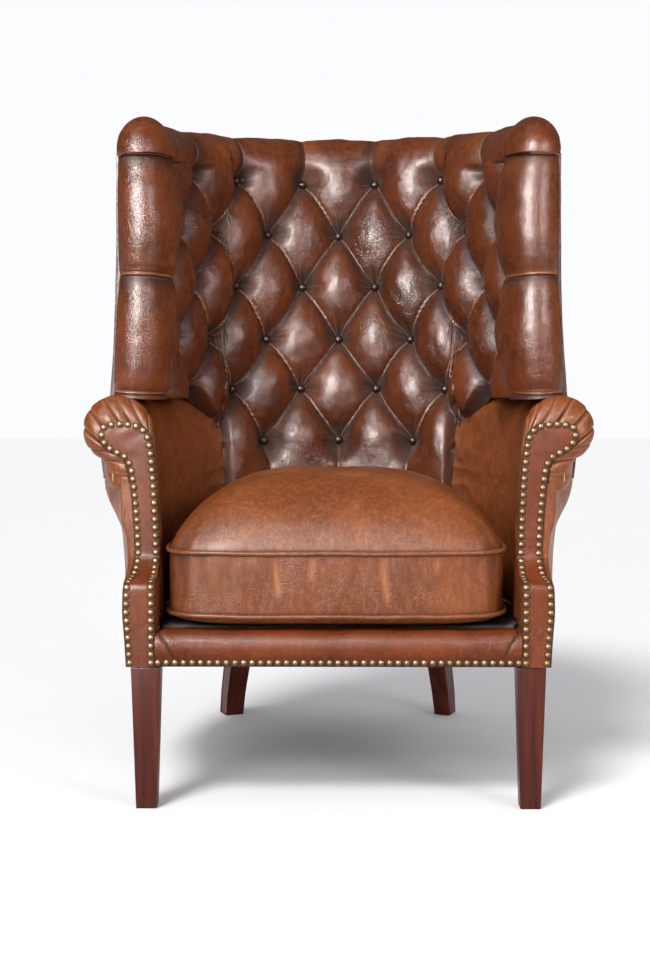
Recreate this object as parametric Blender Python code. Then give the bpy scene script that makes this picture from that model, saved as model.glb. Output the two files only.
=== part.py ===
"""A barrel-back wing armchair in buttoned leather: hardwood frame, sprung seat, upholstered
shell, nailed facings, four legs and a loose seat cushion that lifts out.

Metres, +Z up. The chair faces -Y, and depths are measured back from the plane of its front
rail. The whole shell is laid out on one barrel: a half ellipse round the sitter, carried
forward along the arms. A place on it is an angle round from the middle of the back, a share
of the shell's thickness (0 at the buttoned inside, 1 at the outside) and a height.
"""

import math

import bmesh
import bpy
from mathutils import Matrix, Vector

# Driving dimensions
FRONT_Y = -0.3785
SEAT_UNDERSIDE_Z = 0.2222
BACK_TOP_Z = 1.120
WING_TOP_DROP = 0.033
GAP = 0.0005

# The barrel
BARREL_CENTRE_DEPTH = 0.250
INSIDE_HALF_WIDTH = 0.300
SHELL_SIDE = 0.085
SHELL_SIDE_LOW = 0.077
SHELL_SIDE_WING = 0.067
INSIDE_HALF_DEPTH = 0.295
OUTSIDE_HALF_DEPTH = 0.440
FRONT_HALF_DEPTH = 0.500
INSIDE_LEAN = 0.158
INSIDE_LEAN_FROM_Z = 0.55
OUTSIDE_LEAN = 0.075
FLARE = 0.15
WAIST_Z = 0.914
FLARE_FROM_Z = 0.62
ANGLE_STEP = 6.0
LEVEL_STEP = 0.09

# Where the shell is parted
BACK_ANGLE = 43.0
WING_ANGLE = 92.0
ARM_FRONT_DEPTH = 0.083
ARM_TOP_Z = 0.640
DECK_TOP_Z = 0.2785
PAD_FOOT_Z = 0.283
ARM_PANEL_TOP_Z = 0.500

# Shares of the shell's thickness
PAD_FACE = -0.25
PAD_BACK = 0.42
HESSIAN = (0.45, 0.47)
FRAME_SHARE = (0.52, 0.84)
PANEL = (0.972, 1.0)
ARM_PAD = (-0.09, 0.40)
ARM_PANEL_DRAW = 0.30

# Front legs, back legs, facings
LEG_OUTER_X = 0.3205
LEG_TOP = 0.045
LEG_FOOT = 0.032
BACK_FOOT = (0.211, 0.690)
BACK_LEG_TOP = (0.175, 0.612)
FACING_X = (0.283, 0.3265)
LEDGE_FRONT_Z = 0.350
LEDGE_BACK_Z = 0.383
FACING_SETBACK = 0.0785
FACING_THICKNESS = 0.004
SCROLL_CENTRE = (0.3370, 0.5700)
SCROLL_HALF = (0.0430, 0.0270)
SCROLL_SQUARENESS = 0.80
RAIL_TOP_Z = 0.262
BORDER_TOP_Z = 0.277
NAIL_PITCH = 0.0132
NAIL_RADIUS = 0.0052
NAIL_ROW_Z = 0.2285

# Inside frame
RAIL_THICKNESS = 0.024
FRONT_RAIL_DEPTH = 0.034
BACK_RAIL_DEPTH = 0.600
SIDE_RAIL_FRONT = (0.309, 0.128)
SIDE_RAIL_BACK = (0.205, 0.562)
SIDE_RAIL_THICKNESS = 0.022
EASED_EDGE = 0.001
BLOCK_LEG = 0.060
BLOCK_LEG_BACK = 0.050
POST_X = (0.3000, 0.3195)
POST_DEPTH = (0.0075, 0.1250)
POST_LEAN = 0.016
POST_TOP_Z = 0.498
UPRIGHT_ANGLE = 29
UPRIGHT_SHARE = 0.70
LUMBAR_DEPTH = 0.648
LUMBAR_Z = 0.600
CREST_BELOW = (0.080, 0.052)
ARM_RAIL_Z = (0.503, 0.562)
WING_POST_ANGLE = 85
WING_POST_SHARE = 0.66

# Seat springs and sheets
SPRING_COUNT = 5
SPRING_SPACING = 0.085
SPRING_RUN = (0.0500, 0.5840)
SPRING_SWING = 0.021
SPRING_BENDS = 12
SPRING_WIRE = 0.0018
SPRING_Z = 0.2575
BURLAP_Z = 0.2640
BURLAP_THICKNESS = 0.0015
DECK_FOOT_Z = 0.2662
DUST_COVER_THICKNESS = 0.001
HESSIAN_FOOT_Z = 0.645
HESSIAN_ANGLE = 78.0

# Cushion, in its own frame
CUSHION_CENTRE_DEPTH = 0.220
CUSHION_CENTRE_Z = 0.390
CUSHION_HALF_WIDTH = 0.265
CUSHION_FRONT = 0.214
CUSHION_BACK = 0.256
CUSHION_TOP_PIPING_Z = 0.398
CUSHION_LOW_PIPING_Z = 0.300
CUSHION_CROWN_Z = 0.510
CUSHION_BASE_Z = 0.279
PIPING_RADIUS = 0.0035

COLOURS = {
    "back_leather": ((0.150, 0.050, 0.022), 0.42, 0.0),
    "arm_leather": ((0.270, 0.100, 0.040), 0.45, 0.0),
    "cushion_leather": ((0.260, 0.095, 0.035), 0.48, 0.0),
    "facing_leather": ((0.220, 0.070, 0.030), 0.45, 0.0),
    "piping_leather": ((0.160, 0.055, 0.024), 0.45, 0.0),
    "mahogany": ((0.095, 0.022, 0.010), 0.35, 0.0),
    "beech": ((0.520, 0.350, 0.190), 0.60, 0.0),
    "nail_brass": ((0.270, 0.180, 0.090), 0.35, 1.0),
    "spring_steel": ((0.300, 0.300, 0.310), 0.35, 1.0),
    "burlap": ((0.420, 0.300, 0.170), 0.90, 0.0),
    "deck_cotton": ((0.060, 0.035, 0.022), 0.90, 0.0),
    "black_cambric": ((0.020, 0.020, 0.020), 0.90, 0.0),
    "filling": ((0.750, 0.720, 0.620), 0.90, 0.0),
    "zip_tape": ((0.080, 0.040, 0.025), 0.60, 0.0),
}


def remove_all_objects():
    for item in list(bpy.data.objects):
        bpy.data.objects.remove(item, do_unlink=True)


def make_materials():
    made = {}
    for name, (colour, roughness, metallic) in COLOURS.items():
        material = bpy.data.materials.new(name)
        material.use_nodes = True
        shader = material.node_tree.nodes["Principled BSDF"]
        shader.inputs["Base Color"].default_value = (*colour, 1.0)
        shader.inputs["Roughness"].default_value = roughness
        shader.inputs["Metallic"].default_value = metallic
        made[name] = material
    return made


def place(x, depth, z):
    """A point from its distance right of the middle, its depth behind the front rail and height."""
    return Vector((x, FRONT_Y + depth, z))


# ---------------------------------------------------------------- the barrel


def smooth_step(value, low, high):
    share = min(max((value - low) / (high - low), 0.0), 1.0)
    return share * share * (3 - 2 * share)


def shell_side(z):
    """How thick the shell is at its sides: slimmer low down, and slimmer again in the wings."""
    arm = SHELL_SIDE_LOW + (SHELL_SIDE - SHELL_SIDE_LOW) * smooth_step(z, 0.35, 0.55)
    return arm - (SHELL_SIDE - SHELL_SIDE_WING) * smooth_step(z, 0.585, ARM_TOP_Z)


def barrel(angle, share, z):
    """The place at this angle round the barrel, share of the shell's thickness, and height."""
    turn = math.radians(angle)
    flare = FLARE * (max(z, FLARE_FROM_Z) - WAIST_Z) ** 2
    flare *= smooth_step(z, 0.30, FLARE_FROM_Z)
    half_width = INSIDE_HALF_WIDTH + flare + share * shell_side(z)
    inside = INSIDE_HALF_DEPTH + INSIDE_LEAN * max(z - INSIDE_LEAN_FROM_Z, 0.0)
    outside = OUTSIDE_HALF_DEPTH + OUTSIDE_LEAN * (z - SEAT_UNDERSIDE_Z)
    behind = inside + share * (outside - inside)
    half_depth = behind if math.cos(turn) > 0 else FRONT_HALF_DEPTH
    depth = BARREL_CENTRE_DEPTH + half_depth * math.cos(turn)
    return place(half_width * math.sin(turn), depth, z)


def top_z(angle):
    return BACK_TOP_Z - WING_TOP_DROP * (1 - math.cos(math.radians(angle)))


def angle_at_depth(depth):
    """The angle at which the forward part of the barrel reaches this depth."""
    return math.degrees(math.acos((depth - BARREL_CENTRE_DEPTH) / FRONT_HALF_DEPTH))


def between(low, high, step):
    """low, the multiples of step inside the range, and high: one grid that every layer shares."""
    least = 0.25 * step
    first = math.ceil((low + least) / step)
    last = math.floor((high - least) / step)
    return [low, *(step * i for i in range(first, last + 1)), high]


# ---------------------------------------------------------------- modelling helpers


def add_object(name, shape, material, sharp_angle=40.0, parent=None):
    """Turns a bmesh into an object with its faces out and its edges shaded."""
    bmesh.ops.recalc_face_normals(shape, faces=shape.faces)
    mesh = bpy.data.meshes.new(name)
    shape.to_mesh(mesh)
    shape.free()
    mesh.materials.append(material)
    mesh.shade_smooth()
    mesh.set_sharp_from_angle(angle=math.radians(sharp_angle))
    made = bpy.data.objects.new(name, mesh)
    bpy.context.scene.collection.objects.link(made)
    made.parent = parent
    return made


def ring_edges(shape, points):
    """A closed loop of edges through the points."""
    corners = [shape.verts.new(point) for point in points]
    pairs = zip(corners, corners[1:] + corners[:1])
    return [shape.edges.new(pair) for pair in pairs]


def corners_in_order(edges):
    return [edge.verts[0] for edge in edges]


def loft(rings, closed=False, ladder=False):
    """A skin over the rings, corner to corner, with both ends capped unless it closes on itself.

    A ladder cap joins each corner to the one across from it, which suits long curved sections.
    """
    shape = bmesh.new()
    loops = [corners_in_order(ring_edges(shape, ring)) for ring in rings]
    pairs = list(zip(loops, loops[1:]))
    if closed:
        pairs.append((loops[-1], loops[0]))
    for near, far in pairs:
        for i in range(len(near)):
            after = (i + 1) % len(near)
            shape.faces.new((near[i], near[after], far[after], far[i]))
    if closed:
        return shape
    for rim in (loops[0], loops[-1]):
        if ladder:
            far = list(reversed(rim))
            for i in range(len(rim) // 2 - 1):
                shape.faces.new((rim[i], rim[i + 1], far[i + 1], far[i]))
        else:
            shape.faces.new(rim)
    return shape


def barrel_band(angles, outline, ladder=True):
    """A body round the barrel: outline(angle) lists its section as (share, height) corners."""
    return loft([[barrel(a, share, z) for share, z in outline(a)] for a in angles], ladder=ladder)


def sheet_outline(shares, low, high):
    """A thin section between two shares and two heights, which may depend on the angle."""

    def outline(angle):
        inner, outer = shares(angle) if callable(shares) else shares
        bottom = low(angle) if callable(low) else low
        top = high(angle) if callable(high) else high
        lowest_top = high(90.0) if callable(high) else high
        shared = [] if callable(low) else between(bottom, lowest_top, LEVEL_STEP)[1:-1]
        levels = [bottom, *shared, top]
        return [(inner, z) for z in levels] + [(outer, z) for z in reversed(levels)]

    return outline


def box(size, centre, turn=0.0, bevel=0.0):
    shape = bmesh.new()
    bmesh.ops.create_cube(shape, size=1.0)
    bmesh.ops.scale(shape, vec=size, verts=shape.verts)
    if bevel:
        bmesh.ops.bevel(
            shape, geom=shape.edges, offset=bevel, affect="EDGES", segments=2, profile=0.5, material=-1
        )
    spun = Matrix.Translation(centre) @ Matrix.Rotation(turn, 4, "Z")
    bmesh.ops.transform(shape, matrix=spun, verts=shape.verts)
    return shape


def bar(start, end, width, thickness):
    """A straight board between two places, its width level and its thickness upright to its run."""
    shape = bmesh.new()
    run = end - start
    bmesh.ops.create_cube(shape, size=1.0)
    bmesh.ops.scale(shape, vec=(width, run.length, thickness), verts=shape.verts)
    turned = run.to_track_quat("Y", "Z").to_matrix().to_4x4()
    bmesh.ops.transform(shape, matrix=Matrix.Translation((start + end) / 2) @ turned, verts=shape.verts)
    return shape


def prism(points, rise):
    """The flat outline pushed along rise."""
    return loft([points, [point + rise for point in points]])


def mirrored(points, side):
    return [Vector((side * p.x, p.y, p.z)) for p in points]


def sides():
    return (("left", -1), ("right", 1))


# ---------------------------------------------------------------- legs


def front_leg(name, side, material):
    centre = LEG_OUTER_X - LEG_TOP / 2

    def square(width, z):
        half = width / 2
        rim = [(-half, -half), (half, -half), (half, half), (-half, half)]
        return [place(side * centre + x, LEG_TOP / 2 + 0.001 + y, z) for x, y in rim]

    top = SEAT_UNDERSIDE_Z - GAP
    shape = loft([square(LEG_FOOT, 0.0), square(LEG_TOP, top)])
    add_object(name, shape, material)


def back_leg(name, side, material):
    """Raked back and splayed outwards, its section turned to face its own corner."""
    turn = math.radians(22)
    half_side, half_run = 0.020, 0.024

    def rim(centre, size, z):
        found = []
        for x, y in ((-1, -1), (1, -1), (1, 1), (-1, 1)):
            across, along = x * half_side * size, y * half_run * size
            found.append(
                place(
                    side * (centre[0] + across * math.cos(turn) + along * math.sin(turn)),
                    centre[1] - across * math.sin(turn) + along * math.cos(turn),
                    z,
                )
            )
        return found

    top = SEAT_UNDERSIDE_Z - GAP
    add_object(name, loft([rim(BACK_FOOT, 0.80, 0.0), rim(BACK_LEG_TOP, 1.0, top)]), material)


# ---------------------------------------------------------------- hardwood frame


def seat_rails(beech):
    height = RAIL_TOP_Z - SEAT_UNDERSIDE_Z
    middle = SEAT_UNDERSIDE_Z + height / 2
    front_size, back_size = (0.596, RAIL_THICKNESS, height), (0.300, RAIL_THICKNESS, height)
    front = box(front_size, place(0, FRONT_RAIL_DEPTH, middle), bevel=EASED_EDGE)
    add_object("front_rail", front, beech)
    back = box(back_size, place(0, BACK_RAIL_DEPTH, middle), bevel=EASED_EDGE)
    add_object("back_rail", back, beech)
    for word, side in sides():
        start = place(side * SIDE_RAIL_FRONT[0], SIDE_RAIL_FRONT[1], middle)
        end = place(side * SIDE_RAIL_BACK[0], SIDE_RAIL_BACK[1], middle)
        add_object(f"side_rail_{word}", bar(start, end, SIDE_RAIL_THICKNESS, height), beech)


def corner_blocks(beech):
    """Triangular blocks glued behind the ends of the front and back rails."""
    low, high = SEAT_UNDERSIDE_Z + 0.004, RAIL_TOP_Z - 0.010
    front_x, front_depth = 0.2990, FRONT_RAIL_DEPTH + RAIL_THICKNESS / 2 + GAP
    back_x, back_depth = 0.1490, BACK_RAIL_DEPTH - RAIL_THICKNESS / 2 - GAP
    for word, side in sides():
        for where, x, depth, leg, run in (
            ("front", front_x, front_depth, BLOCK_LEG, 1),
            ("back", back_x, back_depth, BLOCK_LEG_BACK, -1),
        ):
            corners = [place(x, depth, low), place(x - leg, depth, low), place(x, depth + run * leg, low)]
            shape = prism(mirrored(corners, side), Vector((0, 0, high - low)))
            add_object(f"corner_block_{where}_{word}", shape, beech)


def arm_posts(beech):
    """Each post is deep at its foot, behind the ledge, and leans outwards above it."""
    near, far = POST_DEPTH
    outline = [
        (near, SEAT_UNDERSIDE_Z),
        (near, LEDGE_FRONT_Z - 0.008),
        (0.0850, LEDGE_BACK_Z - 0.008),
        (0.0870, POST_TOP_Z),
        (far, POST_TOP_Z),
        (far, 0.375),
        (far, SEAT_UNDERSIDE_Z),
    ]
    for word, side in sides():
        rings = []
        for x in POST_X:
            ring = []
            for depth, z in outline:
                leaned = x + POST_LEAN * smooth_step(z, 0.36, POST_TOP_Z)
                ring.append(place(side * leaned, depth, z))
            rings.append(ring)
        add_object(f"arm_post_{word}", loft(rings), beech)


def leaning_post(foot, head, width, thickness, turn):
    """A post with level ends whose section, turned about the vertical, leans from foot to head."""
    rings = []
    for centre in (foot, head):
        rim = [(-width, -thickness), (width, -thickness), (width, thickness), (-width, thickness)]
        turned = [Matrix.Rotation(turn, 3, "Z") @ Vector((x / 2, y / 2, 0.0)) for x, y in rim]
        rings.append([centre + corner for corner in turned])
    return loft(rings)


def uprights(beech):
    """The two posts of the back and the rail between them at the sitter's waist."""
    for word, side in sides():
        angle = side * UPRIGHT_ANGLE
        foot = barrel(angle, UPRIGHT_SHARE, SEAT_UNDERSIDE_Z)
        head = barrel(angle, UPRIGHT_SHARE, top_z(angle) - 0.083)
        post = leaning_post(foot, head, 0.034, 0.028, math.radians(-side * 22))
        add_object(f"back_upright_{word}", post, beech)
    lumbar = box((0.290, 0.022, 0.050), place(0, LUMBAR_DEPTH, LUMBAR_Z), bevel=EASED_EDGE)
    add_object("lumbar_rail", lumbar, beech)


def shell_rails(beech):
    """The sawn rails that follow the barrel: the crest, the wing tops and the arms."""
    foot_below, top_below = CREST_BELOW
    crest = sheet_outline(FRAME_SHARE, lambda a: top_z(a) - foot_below, lambda a: top_z(a) - top_below)
    add_object("crest_rail", barrel_band(between(-BACK_ANGLE, BACK_ANGLE, ANGLE_STEP), crest), beech)
    arm = sheet_outline(FRAME_SHARE, *ARM_RAIL_Z)
    wing_angles = between(BACK_ANGLE + 0.4, WING_ANGLE - 3, ANGLE_STEP)
    arm_angles = between(38.0, angle_at_depth(0.090), ANGLE_STEP)
    for word, side in sides():
        wing_top = barrel_band([side * a for a in wing_angles], crest)
        add_object(f"wing_rail_{word}", wing_top, beech)
        add_object(f"arm_rail_{word}", barrel_band([side * a for a in arm_angles], arm), beech)
        foot = barrel(side * WING_POST_ANGLE, WING_POST_SHARE, ARM_RAIL_Z[1] + 0.0015)
        head = barrel(side * WING_POST_ANGLE, WING_POST_SHARE, top_z(88) - foot_below - 0.0015)
        add_object(f"wing_post_{word}", leaning_post(foot, head, 0.018, 0.038, 0.0), beech)


# ---------------------------------------------------------------- springs, sheets and deck


def zigzag_spring(name, x, material):
    """A flat wire that runs from the front rail to the back rail in tight bends."""
    start, end = SPRING_RUN
    wire = bpy.data.curves.new(name, "CURVE")
    wire.dimensions = "3D"
    wire.bevel_depth = SPRING_WIRE
    wire.bevel_resolution = 1
    wire.resolution_u = 1
    wire.use_fill_caps = True
    pitch = (end - start) / SPRING_BENDS
    points = []
    for i in range(SPRING_BENDS + 1):
        side = 1 if i % 2 else -1
        for step in (-0.30, 0.30):
            run = min(max(start + pitch * (i + step), start), end)
            points.append(place(x + side * SPRING_SWING, run, SPRING_Z))
    spline = wire.splines.new("POLY")
    spline.points.add(len(points) - 1)
    for corner, point in zip(spline.points, points):
        corner.co = (*point, 1.0)
    wire.materials.append(material)
    made = bpy.data.objects.new(name, wire)
    bpy.context.scene.collection.objects.link(made)


def seat_sheets(materials):
    """The woven sheets: burlap over the springs, the deck, the dust cover and the back's hessian."""
    front_angle = angle_at_depth(0.0545)
    outline = [barrel(a, 0.0, 0.0) for a in between(-front_angle, front_angle, 2 * ANGLE_STEP)]

    def level(z):
        return [Vector((p.x, p.y, z)) for p in outline]

    burlap = prism(level(BURLAP_Z), Vector((0, 0, BURLAP_THICKNESS)))
    add_object("seat_burlap", burlap, materials["burlap"])
    deck = prism(level(DECK_FOOT_Z), Vector((0, 0, DECK_TOP_Z - DECK_FOOT_Z)))
    add_object("seat_deck", deck, materials["deck_cotton"])
    half_front, half_back = 0.262, 0.140
    right = [(half_front, 0.052), (half_front, 0.320), (half_back, 0.570)]
    corners = right + [(-x, depth) for x, depth in reversed(right)]
    under_z = SEAT_UNDERSIDE_Z - DUST_COVER_THICKNESS - GAP
    under = [place(x, depth, under_z) for x, depth in corners]
    dust_cover = prism(under, Vector((0, 0, DUST_COVER_THICKNESS)))
    add_object("dust_cover", dust_cover, materials["black_cambric"])
    hessian = sheet_outline(HESSIAN, HESSIAN_FOOT_Z, lambda a: top_z(a) - 0.085)
    wrap = barrel_band(between(-HESSIAN_ANGLE, HESSIAN_ANGLE, ANGLE_STEP), hessian)
    add_object("back_hessian", wrap, materials["burlap"])


# ---------------------------------------------------------------- upholstery


def pad_outline(foot_z):
    """The section of the tufted padding, carried over the crest and down to the outside panel."""

    def outline(angle):
        top = top_z(angle)
        levels = between(foot_z, 0.99, LEVEL_STEP)
        face = [(PAD_FACE, z) for z in levels]
        over = [
            (PAD_FACE, top - 0.034),
            (PAD_FACE + 0.10, top - 0.010),
            (0.10, top),
            (0.75, top - 0.002),
            (0.96, top - 0.016),
            (1.0, top - 0.038),
            (1.0, top - 0.0495),
            (PAD_BACK, top - 0.0495),
        ]
        return face + over + [(PAD_BACK, z) for z in reversed(levels)]

    return outline


def tufted_pads(leather):
    angles = between(-BACK_ANGLE, BACK_ANGLE, ANGLE_STEP)
    add_object("inside_back_pad", barrel_band(angles, pad_outline(PAD_FOOT_Z)), leather)
    angles = between(BACK_ANGLE + 0.3, WING_ANGLE, ANGLE_STEP)
    for word, side in sides():
        shape = barrel_band([side * a for a in angles], pad_outline(ARM_TOP_Z + 0.0035))
        add_object(f"wing_pad_{word}", shape, leather)


def wing_rolls(leather):
    """The plump roll down the front edge of each wing, closed over at its top."""
    reach, corners = 8.0, 10
    middle = (PAD_FACE + 1.0) / 2
    half = (1.0 - PAD_FACE) / 2
    for word, side in sides():
        top = top_z(WING_ANGLE)
        levels = [(z, 1.0) for z in between(ARM_TOP_Z + 0.0035, top - 0.034, LEVEL_STEP)]
        levels += [(top - 0.012, 0.93), (top, 0.74)]
        rings = []
        for z, size in levels:
            ring = []
            for i in range(corners + 1):
                turn = math.pi * i / corners
                angle = WING_ANGLE + 0.3 + reach * size * math.sin(turn)
                ring.append(barrel(side * angle, middle - half * size * math.cos(turn), z))
            rings.append(ring)
        add_object(f"wing_roll_{word}", loft(rings), leather)


def arm_outline(angle):
    """The section of an arm's padding: up the inside, over the scroll, and hooked round the rail."""
    proud = smooth_step(abs(angle), 90.0, 108.0)
    centre, centre_z, rise = 0.060, 0.584, 0.056
    inner_reach, outer_reach = 0.064, 0.016 + 0.038 * proud
    section = [(-0.008, PAD_FOOT_Z), (-0.008, 0.36), (-0.008, 0.45), (-0.008, 0.54)]
    for i in range(9):
        turn = math.radians(168 - 26 * i)
        reach = inner_reach if math.cos(turn) < 0 else outer_reach
        section.append((centre + reach * math.cos(turn), centre_z + rise * math.sin(turn)))
    skirt, skirt_foot, rail_top = (0.0745, 0.0795), 0.5010, 0.5655
    section += [(skirt[1], 0.531), (skirt[1], skirt_foot), (skirt[0], skirt_foot), (skirt[0], rail_top)]
    section += [(0.040, rail_top), (0.040, skirt_foot), (0.016, 0.4995)]
    section += [(0.008, 0.44), (0.002, 0.36), (0.002, PAD_FOOT_Z)]
    return [(t / shell_side(z), z) for t, z in section]


def arm_pads(leather):
    """The padding inside each arm, and in front of the wing the scroll that rolls over the rail."""
    inside = sheet_outline(ARM_PAD, PAD_FOOT_Z, ARM_TOP_Z)
    inside_angles = between(BACK_ANGLE + 0.3, WING_ANGLE, ANGLE_STEP)
    scroll_angles = between(WING_ANGLE + 0.3, angle_at_depth(ARM_FRONT_DEPTH), ANGLE_STEP)
    for word, side in sides():
        add_object(f"inside_arm_{word}", barrel_band([side * a for a in inside_angles], inside), leather)
        scroll = barrel_band([side * a for a in scroll_angles], arm_outline, ladder=False)
        add_object(f"arm_scroll_{word}", scroll, leather)


def arm_panel_shares(angle):
    """The outside panel runs flush with the wing and draws in under the scroll."""
    drawn_in = ARM_PANEL_DRAW * smooth_step(abs(angle), WING_ANGLE, 108.0)
    return PANEL[0] - drawn_in, PANEL[1] - drawn_in


def outside_panels(materials):
    back, arm = materials["back_leather"], materials["arm_leather"]
    panel = sheet_outline(PANEL, SEAT_UNDERSIDE_Z, lambda a: top_z(a) - 0.0502)
    wrap = barrel_band(between(-BACK_ANGLE, BACK_ANGLE, ANGLE_STEP), panel)
    add_object("outside_back", wrap, back)
    wing = sheet_outline(PANEL, ARM_PANEL_TOP_Z + GAP, lambda a: top_z(a) - 0.0502)
    side_panel = sheet_outline(arm_panel_shares, SEAT_UNDERSIDE_Z, ARM_PANEL_TOP_Z)
    wing_angles = between(BACK_ANGLE + 0.3, WING_ANGLE, ANGLE_STEP)
    arm_angles = between(BACK_ANGLE + 0.3, angle_at_depth(ARM_FRONT_DEPTH), ANGLE_STEP)
    for word, side in sides():
        add_object(f"outside_wing_{word}", barrel_band([side * a for a in wing_angles], wing), back)
        add_object(f"outside_arm_{word}", barrel_band([side * a for a in arm_angles], side_panel), arm)


def scroll_outline():
    """The front facing above the ledge, in the plane of x and z: a column with a scroll head."""
    inner_x, outer_x = FACING_X
    foot_z, neck_z = LEDGE_BACK_Z - 0.004, 0.520
    head = []
    for i in range(15):
        turn = math.radians(172 - 16.0 * i)
        across, up = math.cos(turn), math.sin(turn)
        x = SCROLL_CENTRE[0] + SCROLL_HALF[0] * math.copysign(abs(across) ** SCROLL_SQUARENESS, across)
        head.append((x, SCROLL_CENTRE[1] + SCROLL_HALF[1] * math.copysign(abs(up) ** SCROLL_SQUARENESS, up)))
    column_inner = [(inner_x, foot_z), (inner_x + 0.004, neck_z)]
    column_outer = [(outer_x + 0.006, neck_z), (outer_x, foot_z)]
    return [*column_inner, *head, *column_outer]


def facings(leather):
    """Each facing is one covered board: the front below the ledge, the ledge, and the scroll above."""
    thick = FACING_THICKNESS
    step = [
        (0.0005, SEAT_UNDERSIDE_Z),
        (0.0005, LEDGE_FRONT_Z),
        (FACING_SETBACK - thick, LEDGE_BACK_Z),
        (FACING_SETBACK, LEDGE_BACK_Z),
        (FACING_SETBACK, LEDGE_BACK_Z - thick),
        (0.0005 + thick, LEDGE_FRONT_Z - thick),
        (0.0005 + thick, SEAT_UNDERSIDE_Z),
    ]
    cheek = [
        (0.0015, DECK_TOP_Z + GAP),
        (0.0015, LEDGE_FRONT_Z - 0.001),
        (FACING_SETBACK - 0.001, LEDGE_BACK_Z - 0.001),
        (FACING_SETBACK - 0.001, DECK_TOP_Z + GAP),
    ]
    for word, side in sides():
        stepped = [place(side * FACING_X[0], depth, z) for depth, z in step]
        across = Vector((side * (FACING_X[1] - FACING_X[0]), 0, 0))
        made = add_object(f"arm_facing_{word}", prism(stepped, across), leather)
        scroll = [place(side * x, FACING_SETBACK - thick, z) for x, z in scroll_outline()]
        inner = [place(side * (FACING_X[0] + 0.0003), depth, z) for depth, z in cheek]
        outer = [place(side * (FACING_X[1] - 0.0033), depth, max(z, SEAT_UNDERSIDE_Z)) for depth, z in cheek]
        for corner in (outer[0], outer[-1]):
            corner.z = SEAT_UNDERSIDE_Z + GAP
        joined = (
            ("scroll", prism(scroll, Vector((0, thick - 0.0002, 0)))),
            ("inner_cheek", prism(inner, Vector((side * 0.003, 0, 0)))),
            ("outer_cheek", prism(outer, Vector((side * 0.003, 0, 0)))),
        )
        for part, shape in joined:
            other = add_object(f"facing_{part}_{word}", shape, leather)
            other.hide_render = True
            other.display_type = "WIRE"
            union = made.modifiers.new(part, "BOOLEAN")
            union.operation = "UNION"
            union.solver = "EXACT"
            union.object = other


def front_border(leather):
    """The padded strip over the front rail, rolled back over its top."""
    section = [
        (0.0010, SEAT_UNDERSIDE_Z),
        (0.0002, 0.245),
        (0.0015, 0.264),
        (0.0080, 0.2745),
        (0.0180, BORDER_TOP_Z),
        (0.0500, BORDER_TOP_Z - 0.001),
        (0.0500, RAIL_TOP_Z + 0.003),
        (0.0200, RAIL_TOP_Z + 0.003),
        (0.0200, SEAT_UNDERSIDE_Z),
    ]
    half = FACING_X[0] - GAP
    ends = [[place(x, depth, z) for depth, z in section] for x in (-half, half)]
    add_object("front_border", loft(ends), leather)


def bead_strip(path, radius, pitch):
    """Dome nails in a touching row: a strip that swells at each nail and draws in between.

    path lists (place, outward normal) pairs.
    """
    run = [0.0]
    for (a, _), (b, _) in zip(path, path[1:]):
        run.append(run[-1] + (b - a).length)
    nails = round(run[-1] / pitch)
    rings = []
    for i in range(2 * nails + 1):
        want = run[-1] * i / (2 * nails)
        k = max(j for j in range(len(run) - 1) if run[j] <= want + 1e-9)
        share = (want - run[k]) / (run[k + 1] - run[k])
        centre = path[k][0].lerp(path[k + 1][0], share)
        normal = path[k][1].lerp(path[k + 1][1], share).normalized()
        along = (path[k + 1][0] - path[k][0]).normalized()
        across = along.cross(normal).normalized()
        size = radius if i % 2 else 0.42 * radius
        section = [(-1.0, 0.0), (-0.72, 0.42), (0.0, 0.62), (0.72, 0.42), (1.0, 0.0)]
        rings.append([centre + size * (u * across + v * normal) for u, v in section])
    return loft(rings)


def facing_nail_path(side):
    """Up the inner edge, round the scroll and down the outer edge."""
    front, ledge = Vector((0, -1, 0)), Vector((0, -0.45, 0.9)).normalized()
    lift = 0.0004
    low_depth, high_depth = 0.0005 - lift, FACING_SETBACK - FACING_THICKNESS - lift
    climb = [
        (low_depth, NAIL_ROW_Z, front),
        (low_depth, LEDGE_FRONT_Z - 0.005, front),
        (low_depth - 0.0012, LEDGE_FRONT_Z + 0.0012, (front + ledge).normalized()),
        (low_depth + 0.0045, LEDGE_FRONT_Z + 0.0046, ledge),
        (high_depth - 0.006, LEDGE_BACK_Z + 0.0005, ledge),
        (high_depth, LEDGE_BACK_Z + 0.008, front),
    ]
    inner_x, outer_x = FACING_X[0] + 0.0065, FACING_X[1] - 0.0065
    round_scroll = [
        (inner_x + 0.0015, 0.500),
        (inner_x + 0.0045, 0.545),
        (0.2995, 0.5720),
        (0.3100, 0.5850),
        (0.3260, 0.5905),
        (0.3520, 0.5905),
        (0.3690, 0.5860),
        (0.3740, 0.5740),
        (0.3680, 0.5610),
        (0.3550, 0.5530),
        (0.3420, 0.5475),
        (outer_x + 0.009, 0.5300),
        (outer_x + 0.0055, 0.5050),
    ]
    path = [(place(side * inner_x, depth, z), normal) for depth, z, normal in climb]
    path += [(place(side * x, high_depth, z), front) for x, z in round_scroll]
    return path + [(place(side * outer_x, depth, z), normal) for depth, z, normal in reversed(climb)]


def nails(brass):
    for word, side in sides():
        strip = bead_strip(facing_nail_path(side), NAIL_RADIUS, NAIL_PITCH)
        add_object(f"facing_nails_{word}", strip, brass, sharp_angle=80)
    half = FACING_X[0] - 0.001
    ends = [(place(x, -0.0005, NAIL_ROW_Z), Vector((0, -1, 0))) for x in (-half, half)]
    add_object("front_rail_nails", bead_strip(ends, NAIL_RADIUS, NAIL_PITCH), brass, sharp_angle=80)


# ---------------------------------------------------------------- loose cushion


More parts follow.
